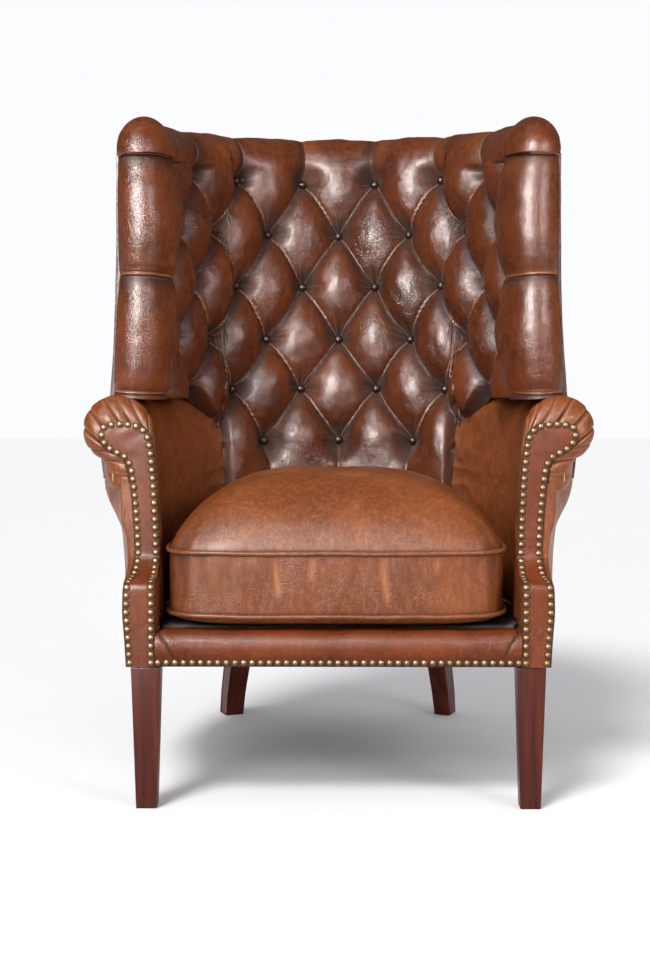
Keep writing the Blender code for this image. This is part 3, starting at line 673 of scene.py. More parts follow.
def button_pleats_group() -> bpy.types.NodeTree:
    """Seams and gathers of the deep buttoning, from the lay of its diamonds.

    The vector holds the two lay numbers of the diamonds, which are whole along their seams, and
    a share of plainness that fades the seams out.
    """
    tree, board, ends = new_group(
        "button_pleats", {"Width": 0.024}, ("Lip", "Crease", "Shade", "Gather", "Height")
    )
    vector, width = ends["in"].outputs["Vector"], ends["in"].outputs["Width"]
    split = board.add("ShaderNodeSeparateXYZ", Vector=vector)
    wander = board.add("ShaderNodeTexNoise", {"noise_dimensions": "2D"}, Vector=vector, Scale=7.0, Detail=3.0)
    drift = board.maths("MULTIPLY_ADD", wander.outputs[0], 0.020, -0.010)
    lays = [board.maths("ADD", split.outputs[axis], drift) for axis in (0, 1)]
    u, v = (board.maths("FRACT", lay) for lay in lays)
    from_u, from_v = board.maths("SUBTRACT", 1.0, u), board.maths("SUBTRACT", 1.0, v)
    shown = board.maths("SUBTRACT", 1.0, split.outputs[2], clamp=True)

    def near(first, second, reach) -> bpy.types.NodeSocket:
        """1 on either of two seams, falling to 0 at a reach from them."""
        least = board.maths("MINIMUM", first, second)
        fall = board.add("ShaderNodeMapRange", {"interpolation_type": "SMOOTHSTEP"}, Value=least)
        board.feed(fall.inputs["From Max"], reach)
        fall.inputs["To Min"].default_value = 1.0
        fall.inputs["To Max"].default_value = 0.0
        return board.maths("MULTIPLY", fall.outputs[0], shown)

    lip = near(v, from_u, width)
    crease = near(from_v, u, board.maths("MULTIPLY", width, 0.8))
    board.feed(ends["out"].inputs["Shade"], near(from_v, u, board.maths("MULTIPLY", width, 7.0)))
    steps = [board.maths("SUBTRACT", lay, board.maths("ROUND", lay)) for lay in lays]
    across = board.maths("MULTIPLY", board.maths("ADD", steps[0], steps[1]), 0.70)
    up = board.maths("SUBTRACT", steps[1], steps[0])
    squared = board.maths("ADD", board.maths("POWER", across, 2.0), board.maths("POWER", up, 2.0))
    reach = board.maths("SQRT", squared)
    turn = board.maths("ARCTAN2", across, up)
    own = board.maths("MULTIPLY", board.maths("ROUND", lays[1]), 3.1)
    own = board.maths("MULTIPLY_ADD", board.maths("ROUND", lays[0]), 7.3, own)
    wave = board.add("ShaderNodeCombineXYZ", X=board.maths("MULTIPLY", turn, 5.5), Y=reach, Z=own)
    streaks = board.add("ShaderNodeTexNoise", Vector=wave.outputs[0], Scale=1.0, Detail=2.0, Roughness=0.55)
    upward = board.ranged(board.maths("ABSOLUTE", turn), 0.5, 2.6, 1.0, 0.30)
    fade = board.ranged(reach, 0.06, 0.46, 1.0, 0.0)
    strength = board.maths("MULTIPLY", upward, board.maths("POWER", fade, 1.4))
    strength = board.maths("MULTIPLY", strength, shown)
    gather = board.maths("MULTIPLY", board.ranged(streaks.outputs[0], 0.50, 0.62, 0.0, 1.0), strength)
    board.feed(ends["out"].inputs["Lip"], lip)
    board.feed(ends["out"].inputs["Crease"], crease)
    board.feed(ends["out"].inputs["Gather"], gather)
    pleated = board.maths("MULTIPLY", board.maths("SUBTRACT", streaks.outputs[0], 0.5), strength)
    rise = board.maths("MULTIPLY_ADD", lip, 0.30, board.maths("MULTIPLY", pleated, 2.0))
    board.feed(ends["out"].inputs["Height"], board.maths("MULTIPLY_ADD", crease, -0.55, rise))
    return tree


@dataclass(frozen=True)
class ButtonedFinish(LeatherFinish):
    """The antiqued leather of the buttoned back, with its seams and gathers, and painted shade along its
    seams.
    """

    seam_width: float = 0.024
    pleat_depth: float = 0.0045

    def build(self, groups: Groups) -> bpy.types.Material:
        """Makes the material.

        Args:
            groups: The shared shader groups.

        Returns:
            The material.
        """
        material = super().build(groups)
        board = Board(material.node_tree)
        shader = material.node_tree.nodes["Principled BSDF"]
        lay = board.add("ShaderNodeAttribute", {"attribute_name": "lay"}).outputs["Vector"]
        pleats = board.add(
            "ShaderNodeGroup", {"node_tree": button_pleats_group()}, Vector=lay, Width=self.seam_width
        )
        colour = shader.inputs["Base Color"].links[0].from_socket
        # painted shade: darker on the crease side of each seam, near black in the crease itself; lips and
        # gathers take the lighter worn colour of real wear
        colour = board.mix(colour, self.dark, board.maths("MULTIPLY", pleats.outputs["Shade"], 0.85))
        colour = board.mix(colour, self.worn, board.maths("MULTIPLY", pleats.outputs["Lip"], 0.85))
        colour = board.mix(colour, self.worn, board.maths("MULTIPLY", pleats.outputs["Gather"], 0.40))
        colour = board.mix(colour, self.fold_shade_colour, board.maths("MULTIPLY", pleats.outputs["Crease"], 0.95))
        board.feed(shader.inputs["Base Color"], colour)
        fine = shader.inputs["Normal"].links[0].from_node.inputs["Normal"].links[0].from_node
        pleated = board.add(
            "ShaderNodeBump", Height=pleats.outputs["Height"], Distance=self.pleat_depth, Strength=0.9
        )
        board.feed(fine.inputs["Normal"], pleated.outputs[0])
        rough = shader.inputs["Roughness"].links[0].from_socket
        shaded = board.maths("MULTIPLY_ADD", pleats.outputs["Shade"], 0.22, rough, clamp=True)
        board.feed(shader.inputs["Roughness"], shaded)
        return material


class Finishes:
    """Every finish of the chair, built once."""

    def __init__(self) -> None:
        """Builds the shared groups and then each material."""
        groups = Groups()
        self.back = ButtonedFinish(
            "back_leather", base=(0.190, 0.045, 0.0115), dark=(0.034, 0.0070, 0.0030),
            worn=(0.50, 0.155, 0.040),
            roughness=0.22, clouding=0.65, blotching=0.35, rubbing=0.12, speckle=0.10,
        ).build(groups)
        self.outside = LeatherFinish(
            "outside_leather", base=(0.095, 0.028, 0.012), dark=(0.026, 0.0075, 0.0045),
            worn=(0.30, 0.11, 0.04),
            roughness=0.34, clouding=0.7, blotching=0.4, rubbing=0.15, speckle=0.15,
        ).build(groups)
        self.arm = LeatherFinish(
            "arm_leather", base=(0.265, 0.068, 0.0165), dark=(0.090, 0.021, 0.0060),
            worn=(0.52, 0.19, 0.058), sheen=0.16,
            roughness=0.32, clouding=0.45, blotching=0.30, rubbing=0.25, speckle=0.30,
        ).build(groups)
        self.cushion = LeatherFinish(
            "cushion_leather", base=(0.245, 0.066, 0.017), dark=(0.105, 0.026, 0.0075),
            worn=(0.47, 0.17, 0.055), sheen=0.14,
            roughness=0.34, clouding=0.60, blotching=0.40, rubbing=0.32, speckle=0.60,
        ).build(groups)
        self.facing = LeatherFinish(
            "facing_leather", base=(0.200, 0.042, 0.0100), dark=(0.060, 0.012, 0.0040),
            worn=(0.40, 0.120, 0.034), sheen=0.12,
            roughness=0.32, clouding=0.5, blotching=0.35, rubbing=0.2, speckle=0.25,
        ).build(groups)
        self.piping = LeatherFinish(
            "piping_leather", base=(0.110, 0.032, 0.012), dark=(0.040, 0.011, 0.005),
            worn=(0.32, 0.125, 0.045),
            roughness=0.40, clouding=0.5, blotching=0.3, rubbing=0.3, speckle=0.2,
        ).build(groups)
        self.button = LeatherFinish(
            "button_leather", base=(0.050, 0.015, 0.008), dark=(0.020, 0.006, 0.004),
            worn=(0.20, 0.08, 0.035),
            roughness=0.20, clouding=0.5, blotching=0.4, rubbing=0.1, speckle=0.1,
        ).build(groups)
        self.mahogany = TimberFinish(
            "mahogany", light=(0.120, 0.020, 0.0075), dark=(0.048, 0.008, 0.0035), roughness=0.36, coat=0.03
        ).build(groups)
        self.beech = TimberFinish(
            "beech", light=(0.56, 0.38, 0.21), dark=(0.40, 0.25, 0.13), roughness=0.62, coat=0.0
        ).build(groups)
        self.brass = MetalFinish(
            "nail_brass", bright=(0.120, 0.076, 0.041), patina=(0.026, 0.014, 0.008), roughness=0.42
        ).build(groups)
        self.steel = MetalFinish(
            "spring_steel", bright=(0.42, 0.42, 0.43), patina=(0.16, 0.15, 0.15), roughness=0.34
        ).build(groups)
        self.burlap = ClothFinish("burlap", thread=(0.45, 0.32, 0.18), gap=(0.16, 0.10, 0.05)).build(groups)
        self.deck = ClothFinish(
            "deck_cotton", thread=(0.085, 0.048, 0.030), gap=(0.028, 0.015, 0.010), scale=2600.0
        ).build(groups)
        self.cambric = ClothFinish(
            "black_cambric", thread=(0.022, 0.022, 0.023), gap=(0.006, 0.006, 0.006), scale=2600.0
        ).build(groups)
        self.filling = ClothFinish("filling", thread=(0.78, 0.74, 0.64), gap=(0.60, 0.55, 0.45)).build(groups)
        self.zip_tape = ClothFinish(
            "zip_tape", thread=(0.090, 0.045, 0.028), gap=(0.03, 0.015, 0.01), scale=3000.0
        ).build(groups)


# ---------------------------------------------------------------- the barrel


@dataclass(frozen=True)
class Barrel:
    """The half ellipse round the sitter on which the whole shell is laid out."""

    front_y: float = -0.3785
    centre_depth: float = 0.250
    half_width: float = 0.300
    side: float = 0.085
    side_low: float = 0.077
    side_wing: float = 0.067
    arm_top_z: float = 0.640
    inside_depth: float = 0.295
    outside_depth: float = 0.440
    forward_depth: float = 0.500
    inside_lean: float = 0.158
    outside_lean: float = 0.075
    lean_from_z: float = 0.55
    underside_z: float = 0.2222
    flare: float = 0.15
    waist_z: float = 0.914
    flare_from_z: float = 0.62
    top_z: float = 1.120
    top_drop: float = 0.033

    def side_at(self, z: Array) -> Array:
        """How thick the shell is at its sides, at heights."""
        arm = self.side_low + (self.side - self.side_low) * smooth_step(z, 0.35, 0.55)
        return arm - (self.side - self.side_wing) * smooth_step(z, 0.585, self.arm_top_z)

    def at(self, angle: Array, share: Array, z: Array) -> Array:
        """Places at angles in degrees, shares of the thickness and heights.

        Args:
            angle: Angles round from the middle of the back.
            share: 0 on the inside and 1 on the outside.
            z: Heights.

        Returns:
            The places, with a last axis of 3.
        """
        angle, share, z = np.broadcast_arrays(angle, share, z)
        turn = np.radians(angle)
        flare = self.flare * (np.maximum(z, self.flare_from_z) - self.waist_z) ** 2
        flare = flare * smooth_step(z, 0.30, self.flare_from_z)
        half_width = self.half_width + flare + share * self.side_at(z)
        inside = self.inside_depth + self.inside_lean * np.maximum(z - self.lean_from_z, 0.0)
        outside = self.outside_depth + self.outside_lean * (z - self.underside_z)
        behind = inside + share * (outside - inside)
        half_depth = np.where(np.cos(turn) > 0, behind, self.forward_depth)
        depth = self.centre_depth + half_depth * np.cos(turn)
        return np.stack([half_width * np.sin(turn), self.front_y + depth, z + 0.0 * angle], axis=-1)

    def rim_z(self, angle: Array) -> Array:
        """Height of the crest at an angle."""
        return self.top_z - self.top_drop * (1 - np.cos(np.radians(angle)))

    def angle_at_depth(self, depth: float) -> float:
        """The angle at which the forward part of the barrel reaches a depth."""
        return math.degrees(math.acos((depth - self.centre_depth) / self.forward_depth))

    def angle_of(self, run: Array) -> Array:
        """Angles at distances along the inside of the barrel from its middle."""
        turns = np.radians(np.linspace(0.0, 150.0, 1501))
        middle = self.inside_depth + 0.3 * self.inside_lean
        deep = np.where(np.cos(turns) > 0, middle, self.forward_depth)
        step = np.hypot(self.half_width * np.cos(turns), deep * np.sin(turns))
        travelled = np.concatenate([[0.0], np.cumsum((step[1:] + step[:-1]) / 2 * np.diff(turns))])
        return np.sign(run) * np.degrees(np.interp(np.abs(run), travelled, turns))


# ---------------------------------------------------------------- buttoned shell


@dataclass
class ButtonedShell:
    """The deep-buttoned skin: the back, both wings and their front rolls, and the crest."""

    barrel: Barrel
    finishes: Finishes
    half_spacing: float = 0.0685
    row_z: tuple[float, ...] = (1.032, 0.933, 0.835, 0.736, 0.643, 0.547)
    fullness: float = 0.042
    seam_height: float = 0.016
    roll_floor: float = 0.60
    floor_share: float = 0.10
    wing_rim: float = 0.530
    wing_wrap: float = 0.170
    wing_reach: float = 0.044
    crest_wrap: float = 0.150
    crest_rise: float = 0.028
    wing_crest_rise: float = 0.030
    outer_share: float = 0.90
    wrap_end: float = 0.93
    spacing: float = 0.0033
    foot_z: float = 0.286
    arm_top_z: float = 0.634
    arm_corner_z: float = 0.572
    button_radius: float = 0.0080
    low_end_column: float = 3.50
    last_column: float = 7.0
    last_columns: tuple[int, ...] = (7, 6, 7, 6, 5, 2)
    corner_columns: tuple[float, float] = (3.52, 3.80)
    arm_columns: tuple[float, float] = (3.77, 4.8)
    joint_column: float = 3.76
    joint_width: float = 0.40
    joint_height: float = 0.022
    free_column: float = 5.4
    dimple_share: float = 0.88
    dimple_reach: float = 0.019
    pit_depth: float = 0.004
    pit_reach: float = 0.011
    shade_share: float = 1.10
    shade_reach: float = 0.0225
    lining_depth: float = 0.006
    unrolled_top: float = 1.215
    button_rise: float = 0.0066
    button_set: float = 0.0025

    def rows_down(self, t: Array) -> Array:
        """Height in rows above the top row of buttons, so 0, -1, -2 ... on the rows."""
        marks = list(reversed(self.row_z))
        rows = np.interp(t, marks, range(1 - len(marks), 1))
        pitch = self.row_z[0] - self.row_z[1]
        rows = rows + np.maximum(t - self.row_z[0], 0) / pitch
        return rows - np.maximum(self.row_z[-1] - t, 0) / pitch

    def rim_of(self, run: Array) -> tuple[Array, Array]:
        """Where the crest starts to roll over, and how far it rises from there."""
        angle = self.barrel.angle_of(np.clip(run, -self.wing_rim, self.wing_rim))
        share = 1 - np.cos(np.radians(angle))
        rise = self.crest_rise + (self.wing_crest_rise - self.crest_rise) * share
        proud = self.fullness * (0.80 - 0.20 * share)
        return self.barrel.rim_z(angle) - rise - proud, rise

    def base(self, run: Array, t: Array) -> Array:
        """The smooth skin through the buttons' feet.

        Args:
            run: Distance round the inside from the middle of the back.
            t: Height, counted on over the crest.

        Returns:
            The places.
        """
        middle_rim = float(self.rim_of(np.array(0.0))[0])
        rim, rise = self.rim_of(run)
        over_side = np.maximum(np.abs(run) - self.wing_rim, 0) / self.wing_wrap
        over_top = np.maximum(t - middle_rim, 0) / self.crest_wrap
        reach = np.maximum(over_side, over_top)
        turn = np.pi * reach
        least = np.minimum(over_side, over_top) / np.maximum(reach, 1e-9)
        lean = np.where(over_side >= over_top, least, 2 - least) * np.pi / 4
        squeeze = (rim - self.row_z[0]) / (middle_rim - self.row_z[0])
        flat = np.minimum(t, middle_rim)
        z = np.where(flat > self.row_z[0], self.row_z[0] + (flat - self.row_z[0]) * squeeze, flat)
        z = z + rise * np.sin(turn) * np.sin(lean)
        share = self.floor_share + (self.outer_share - self.floor_share) * (1 - np.cos(turn)) / 2
        angle = self.barrel.angle_of(np.clip(run, -self.wing_rim, self.wing_rim))
        place = self.barrel.at(angle, share, z)
        place[..., 1] -= self.wing_reach * np.sin(turn) * np.cos(lean) * (over_side > 0)
        return place

    def lay(self, a: Array, b: Array) -> tuple[Array, Array]:
        """The two lay numbers of the diamonds, whole along the seams."""
        across = np.clip(a, -self.last_column, self.last_column)
        beyond = np.abs(a) > self.last_column
        up = np.where(beyond, np.clip(b, -5, 1.2), np.clip(b, 1 - len(self.row_z), 0))
        return (across - up + 1) / 2, (across + up + 1) / 2

    def height(self, a: Array, b: Array) -> tuple[Array, Array]:
        """Fullness of the stuffing over the buttons' feet.

        Args:
            a: Distance across in half spacings.
            b: Height in rows above the top row.

        Returns:
            The heights, and the painted shade of each place, darker the deeper it lies in the valleys.
        """
        across = np.clip(a, -self.last_column, self.last_column)
        up = np.clip(b, 1 - len(self.row_z), 0)
        first, second = (across - up + 1) / 2, (across + up + 1) / 2
        cell = np.floor(first) * 7.31 + np.floor(second) * 3.77
        u, v = first - np.floor(first), second - np.floor(second)
        vary = 1 + 0.07 * np.sin(cell * 2.3)
        full_u, full_v = np.sin(np.pi * u), np.sin(np.pi * v)
        ridge = full_u**0.62 + full_v**0.62 - (full_u * full_v) ** 0.62
        pillow = (full_u * full_v) ** 0.62
        sag = 1 + 0.10 * (v - u)
        diamond = self.seam_height * ridge + (self.fullness * vary * sag - self.seam_height) * pillow
        fade_u, fade_v = full_u**0.5, full_v**0.5
        lip = np.exp(-((v / 0.11) ** 2)) * fade_u + np.exp(-(((1 - u) / 0.11) ** 2)) * fade_v
        tuck = np.exp(-(((1 - v) / 0.08) ** 2)) * fade_u + np.exp(-((u / 0.08) ** 2)) * fade_v
        lip, tuck = 0.0016 * lip, 0.0022 * tuck
        diamond = diamond + lip - tuck

        def channel(share: Array) -> Array:
            """Fullness across a channel between two pleats."""
            return self.roll_floor + (1 - self.roll_floor) * np.abs(np.sin(np.pi * share)) ** 0.5

        crest = channel((a + 1) / 2)
        crest = (crest + (0.93 - crest) * 0.65 * smooth_step(b, 0.35, 0.8)) * self.fullness
        foot = channel(a / 2) * self.fullness
        front = channel(b / 2) * self.fullness
        corner_a = np.clip((np.abs(a) - self.last_column) / 2, 0, 0.5)
        corner_b = np.clip(b / 2, 0, 0.5)
        rounded = (np.sin(np.pi * corner_a) * np.sin(np.pi * corner_b)) ** 0.5
        corner = self.roll_floor + (1 - self.roll_floor) * rounded
        corner = corner * self.fullness
        over, under = smooth_step(b, 0.0, 0.50), smooth_step(-b - len(self.row_z) + 1, 0.0, 0.50)
        beyond = smooth_step(np.abs(a), self.last_column, 7.7)
        found = diamond * (1 - over) + crest * over
        found = found * (1 - under) + foot * under
        side = np.where(b > 0, corner, front)
        found = found * (1 - beyond) + side * beyond
        # painted shade: darker where the stuffing is low, in the valleys and round the buttons
        fold = np.exp(-((found / 0.0125) ** 2))
        return found, fold

    def near_buttons(self, a: Array, b: Array) -> Array:
        """Distance to the nearest button, in metres."""
        pitch = (self.row_z[0] - self.row_z[-1]) / (len(self.row_z) - 1)
        least = np.full(a.shape, 1.0)
        for column, row in self.buttons()[:-2]:
            away = np.hypot((a - column) * self.half_spacing, (b + row) * pitch)
            least = np.minimum(least, away)
        return least

    def buttons(self) -> list[tuple[float, int]]:
        """Columns and rows of the buttons: every other place, fewer in the low rows."""
        found = []
        for row, widest in enumerate(self.last_columns):
            found += [(column, row) for column in range(-widest, widest + 1, 2)]
        last = len(self.row_z) - 1
        return [*found, (-self.low_end_column, last), (self.low_end_column, last)]

    def foot_of(self, run: Array) -> Array:
        """The lower edge of the skin, which rises where the arms meet the back."""
        a = np.abs(run) / self.half_spacing
        corner = self.foot_z + (self.arm_corner_z - self.foot_z) * smooth_step(a, *self.corner_columns)
        return corner + (self.arm_top_z - self.arm_corner_z) * smooth_step(a, *self.arm_columns)

    def skin(self, run: Array, share_up: Array) -> tuple[Array, Array, Array, Array]:
        """The skin's shown surface on a grid.

        Args:
            run: Distances round, one to a column.
            share_up: Shares of the way from the lower edge to over the crest, one to a row.

        Returns:
            The shown places, the hidden lining's places, the painted shade of the folds and the lay vectors.
        """
        middle_rim = float(self.rim_of(np.array(0.0))[0])
        s, share = np.meshgrid(run, share_up)
        low = self.foot_of(s)
        top = middle_rim + self.crest_wrap * self.wrap_end
        t = low + (top - low) * share
        even_a, even_b = s / self.half_spacing, self.rows_down(t)
        a = even_a + 0.030 * cloud(s * 18, t * 18, 3)
        b = even_b + 0.025 * cloud(s * 18 + 9, t * 18, 4)
        away = self.near_buttons(even_a, even_b)
        ease = smooth_step(away, 0.004, 0.030)
        a = even_a + (a - even_a) * ease
        b = even_b + (b - even_b) * ease
        base = self.base(s, t)
        normal = normals_of(base)
        height, fold = self.height(a, b)
        dimple = self.dimple_share * np.exp(-((away / self.dimple_reach) ** 2))
        pit = self.pit_depth * np.exp(-((away / self.pit_reach) ** 2))
        height = height * (1 - dimple) - pit
        height = height + 0.0012 * cloud(s * 38, t * 38, 5) * smooth_step(height, 0.008, 0.024)
        height = height + 0.0004 * cloud(s * 120, t * 90, 6) * smooth_step(height, 0.008, 0.024)
        over_side = np.maximum(np.abs(s) - self.wing_rim, 0) / self.wing_wrap
        end = np.maximum(over_side, np.maximum(t - middle_rim, 0) / self.crest_wrap)
        height = height * (1 - smooth_step(end, 0.35, 0.95)) + 0.001
        column = np.abs(s) / self.half_spacing
        beside = smooth_step(self.joint_column - column, 0.0, self.joint_width)
        above = smooth_step(t, self.arm_corner_z - 0.004, self.arm_corner_z + 0.040)
        joint = np.maximum(beside, above) * smooth_step(t - low, 0.0, self.joint_height)
        joint = np.where(column > self.free_column, 1.0, joint)
        height = height * joint
        shown = base + normal * height[..., None]
        # painted shade: darker where the skin tucks in at the arms and round each button's pit
        fold = fold + 0.8 * (1 - joint) ** 0.7
        shade = self.shade_share * np.exp(-((away / self.shade_reach) ** 2))
        fold = np.clip(fold * (1 - smooth_step(end, 0.0, 0.2)) + shade, 0, 1)
        first, second = self.lay(a, b)
        plain = np.clip(smooth_step(end, 0.55, 0.8) + (b < -5.4), 0, 1)
        lining = base - normal * self.lining_depth
        return shown, lining, fold, np.stack([first, second, plain], axis=-1)

    def build(self) -> bpy.types.Object:
        """Makes the skin as one closed, stuffed piece."""
        end = self.wing_rim + self.wing_wrap * self.wrap_end
        columns = int(2 * end / self.spacing)
        rows = int((self.unrolled_top - self.foot_z) / self.spacing)
        shown, _, fold, lay = self.skin(np.linspace(-end, end, columns), np.linspace(0, 1, rows))
        _, inner, _, _ = self.skin(np.linspace(-end, end, columns // 5), np.linspace(0, 1, rows // 5))
        shape = grid_mesh(shown)
        lining = grid_mesh(inner)
        mesh = bpy.data.meshes.new("lining")
        lining.to_mesh(mesh)
        lining.free()
        shape.from_mesh(mesh)
        bpy.data.meshes.remove(mesh)
        bmesh.ops.bridge_loops(shape, edges=boundary_of(shape))
        piece = add_piece("buttoned_shell", shape, self.finishes.back, marks={"fold": fold}, sharp=180.0)
        layer = piece.data.attributes.new("lay", "FLOAT_VECTOR", "POINT")
        values = np.zeros((len(piece.data.vertices), 3), np.float32)
        values[:, 2] = 1.0
        values[: lay.shape[0] * lay.shape[1]] = lay.reshape(-1, 3)
        layer.data.foreach_set("vector", values.reshape(-1))
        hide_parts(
            "inside_back_pad", "wing_pad_left", "wing_pad_right", "wing_roll_left", "wing_roll_right"
        )
        return piece

    def build_buttons(self) -> list[bpy.types.Object]:
        """Makes each row of covered buttons."""
        made = []
        for row in range(len(self.row_z)):
            shape = bmesh.new()
            for column, own_row in self.buttons():
                if own_row != row:
                    continue
                run = column * self.half_spacing
                about = np.array([[-0.004, 0, 0.004]] * 3)
                near = self.base(run + about, self.row_z[row] + about.T)
                normal = normals_of(near)[1, 1]
                centre = near[1, 1] + self.button_set * normal
                dome(shape, centre, normal, self.button_radius, self.button_rise, 16, 8)
            piece = add_piece(f"back_buttons_row_{row + 1}", shape, self.finishes.button, outwards=False)
            made.append(piece)
        return made


def dome(
    shape: bmesh.types.BMesh, centre: Array, normal: Array, radius: float, rise: float, around: int, up: int
) -> None:
    """Adds a domed head with a flat underside to a mesh, with painted shade towards its rim.

    Args:
        shape: The mesh to add to.
        centre: The middle of its underside.
        normal: The way that it faces.
        radius: Its radius.
        rise: Its height.
        around: Its corners round the rim.
        up: Levels of the sphere that it is cut from.
    """
    layer = shape.verts.layers.float.get("fold") or shape.verts.layers.float.new("fold")
    made = bmesh.ops.create_uvsphere(shape, u_segments=around, v_segments=up, radius=1.0)["verts"]
    turned = Vector(normal).to_track_quat("Z", "Y").to_matrix()
    for corner in made:
        level = corner.co.z
        # painted shade mark: darker towards the rim and the underside
        corner[layer] = float(np.clip(1.0 - 1.9 * max(level, 0.0), 0.0, 1.0))
        reach = rise if level > 0 else 0.12 * rise
        flat = Vector((corner.co.x * radius, corner.co.y * radius, level * reach))
        corner.co = turned @ flat + Vector(centre)


# ---------------------------------------------------------------- arms


def smoothed(points: Array, times: int = 2) -> Array:
    """A polyline with its inner points eased towards their neighbours."""
    points = points.copy()
    for _ in range(times):
        points[1:-1] = 0.25 * points[:-2] + 0.5 * points[1:-1] + 0.25 * points[2:]
    return points


def resampled(points: Array, count: int) -> Array:
    """Places evenly spaced along a polyline."""
    steps = np.linalg.norm(np.diff(points, axis=0), axis=1)
    run = np.concatenate([[0.0], np.cumsum(steps)])
    wanted = np.linspace(0, run[-1], count)
    return np.stack([np.interp(wanted, run, points[:, axis]) for axis in range(points.shape[1])], axis=-1)


@dataclass
class ScrollArm:
    """One arm's leather: up the inside, over the scroll, and gathered round its front."""

    barrel: Barrel
    finishes: Finishes
    side: Side
    front_depth: float = 0.0790
    nose: float = 0.034
    back_angle: float = 38.5
    back_tuck: float = 0.020
    inside_t: float = -0.008
    roll_t: float = 0.060
    roll_z: float = 0.584
    roll_rise: float = 0.055
    inner_reach: float = 0.064
    outer_reach: float = 0.054
    wing_outer_reach: float = 0.016
    gathers: int = 10
    gather_depth: float = 0.0042
    head_centre: tuple[float, float] = (0.3365, 0.5700)
    head_half: tuple[float, float] = (0.0385, 0.0225)
    inside_z: tuple[float, ...] = (0.284, 0.36, 0.45, 0.52)
    skirt: tuple[tuple[float, float], ...] = ((0.0785, 0.531), (0.0765, 0.503), (0.0700, 0.490))
    head_inside_x: tuple[float, ...] = (0.2885, 0.2885, 0.2890, 0.2910)
    head_skirt: tuple[tuple[float, float], ...] = (
        (0.345, 0.5485), (0.3345, 0.525), (0.3315, 0.505), (0.3305, 0.490)
    )
    thickness: float = 0.004
    slices: int = 90
    section_points: int = 260
    nose_steps: int = 25
    pace: float = 0.004

    def section(self, angle: float, count: int) -> Array:
        """The leather's section at an angle, as distances out from the inside and heights."""
        proud = float(smooth_step(abs(angle), 90.0, 108.0))
        outer = self.wing_outer_reach + (self.outer_reach - self.wing_outer_reach) * proud
        behind = 1.0 - float(smooth_step(abs(angle), self.back_angle, self.back_angle + 5.0))
        inside = self.inside_t + self.back_tuck * behind
        t = [inside] * len(self.inside_z)
        z = list(self.inside_z)
        for turn in np.radians(np.arange(168.0, -45.0, -8.0)):
            reach = self.inner_reach - self.back_tuck * behind if math.cos(turn) < 0 else outer
            t.append(self.roll_t + reach * math.cos(turn))
            z.append(self.roll_z + self.roll_rise * math.sin(turn))
        return smoothed(resampled(np.array([*zip(t, z), *self.skirt]), count), 3)

    def head(self, count: int) -> Array:
        """The line of nails that the front gathers into, as widths and heights."""
        x, z = list(self.head_inside_x), list(self.inside_z)
        for turn in np.radians(np.arange(168.0, -45.0, -8.0)):
            c, s = math.cos(turn), math.sin(turn)
            x.append(self.head_centre[0] + self.head_half[0] * math.copysign(abs(c) ** 0.8, c))
            z.append(self.head_centre[1] + self.head_half[1] * math.copysign(abs(s) ** 0.8, s))
        return smoothed(resampled(np.array([*zip(x, z), *self.head_skirt]), count), 3)

    def build(self) -> bpy.types.Object:
        """Makes the arm's leather as one closed, stuffed piece."""
        sign, count = self.side.value, self.section_points
        front = self.barrel.angle_at_depth(self.front_depth + self.nose)
        angles = np.linspace(self.back_angle, front, self.slices)
        rows = []
        for angle in angles:
            section = self.section(angle, count)
            share = section[:, 0] / self.barrel.side_at(section[:, 1])
            rows.append(self.barrel.at(angle, share, section[:, 1]))
        last, before = rows[-1], rows[-2]
        ahead = (last - before) / np.abs((last - before)[:, 1:2])
        head = self.head(count)
        depth = np.full(count, self.barrel.front_y + self.front_depth)
        target = np.column_stack([head[:, 0], depth, head[:, 1]])
        for turn in np.linspace(0, np.pi / 2, self.nose_steps + 1)[1:]:
            share = 1 - np.cos(turn)
            along = last + ahead * self.nose * np.sin(turn) * (1 - share)
            place = along * (1 - share) + target * share
            place[:, 1] = self.barrel.front_y + self.front_depth + self.nose * (1 - np.sin(turn))
            rows.append(place)
        grid = np.array(rows)
        normal = -normals_of(grid)
        run = np.linspace(0, 1, count)[None, :]
        along = (np.arange(len(rows))[:, None] - (len(angles) - 1)) / self.nose_steps
        round_head = smooth_step(run, 0.42, 0.50) * (1 - smooth_step(run, 0.93, 0.97))
        phase = self.gathers * run * 2.1 + 0.35 * cloud(run * 14, run * 0 + sign + 3, 11)
        wave = np.abs(np.sin(np.pi * phase))
        reach = np.clip((along + 0.55) / 1.3, 0, 1) ** 1.4
        reach = reach * (1 + 0.35 * cloud(phase + 0 * along, along * 0 + 2, 12))
        valley = np.exp(-((wave / 0.28) ** 2))
        crease = valley * reach * round_head
        puffed = (wave**0.7) * reach * round_head * (1 - 0.6 * np.clip(along, 0, 1) ** 6)
        height = self.gather_depth * (0.75 * puffed - 0.8 * crease)
        s, t = np.meshgrid(run[0] * 0.75, np.arange(len(rows)) * self.pace)
        height = height + 0.0014 * cloud(s * 22, t * 18, 13) + 0.0005 * cloud(s * 90, t * 70, 14)
        deep_back = smooth_step(-along * self.nose_steps * self.pace, 0.22, 0.30)
        height = height - 0.002 * deep_back * np.abs(np.sin(run * 40 + 2 * cloud(s * 9, t * 20, 15)))
        shown = grid + normal * height[..., None]
        # painted shade in the valleys of the front gathers
        fold = np.clip(0.85 * crease * np.clip(along + 0.5, 0, 1), 0, 1)
        worn = np.clip(np.exp(-(((wave - 0.42) / 0.16) ** 2)) * reach * round_head * 0.75, 0, 1)
        mirror = np.array([sign, 1.0, 1.0])
        inner = (grid - normal * self.thickness) * mirror
        shape = walled_sheet(shown * mirror, inner)
        marks = {"fold": fold, "worn": worn}
        piece = add_piece(f"arm_leather_{self.side.word}", shape, self.finishes.arm, marks=marks, sharp=120.0)
        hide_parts(f"inside_arm_{self.side.word}", f"arm_scroll_{self.side.word}")
        return piece


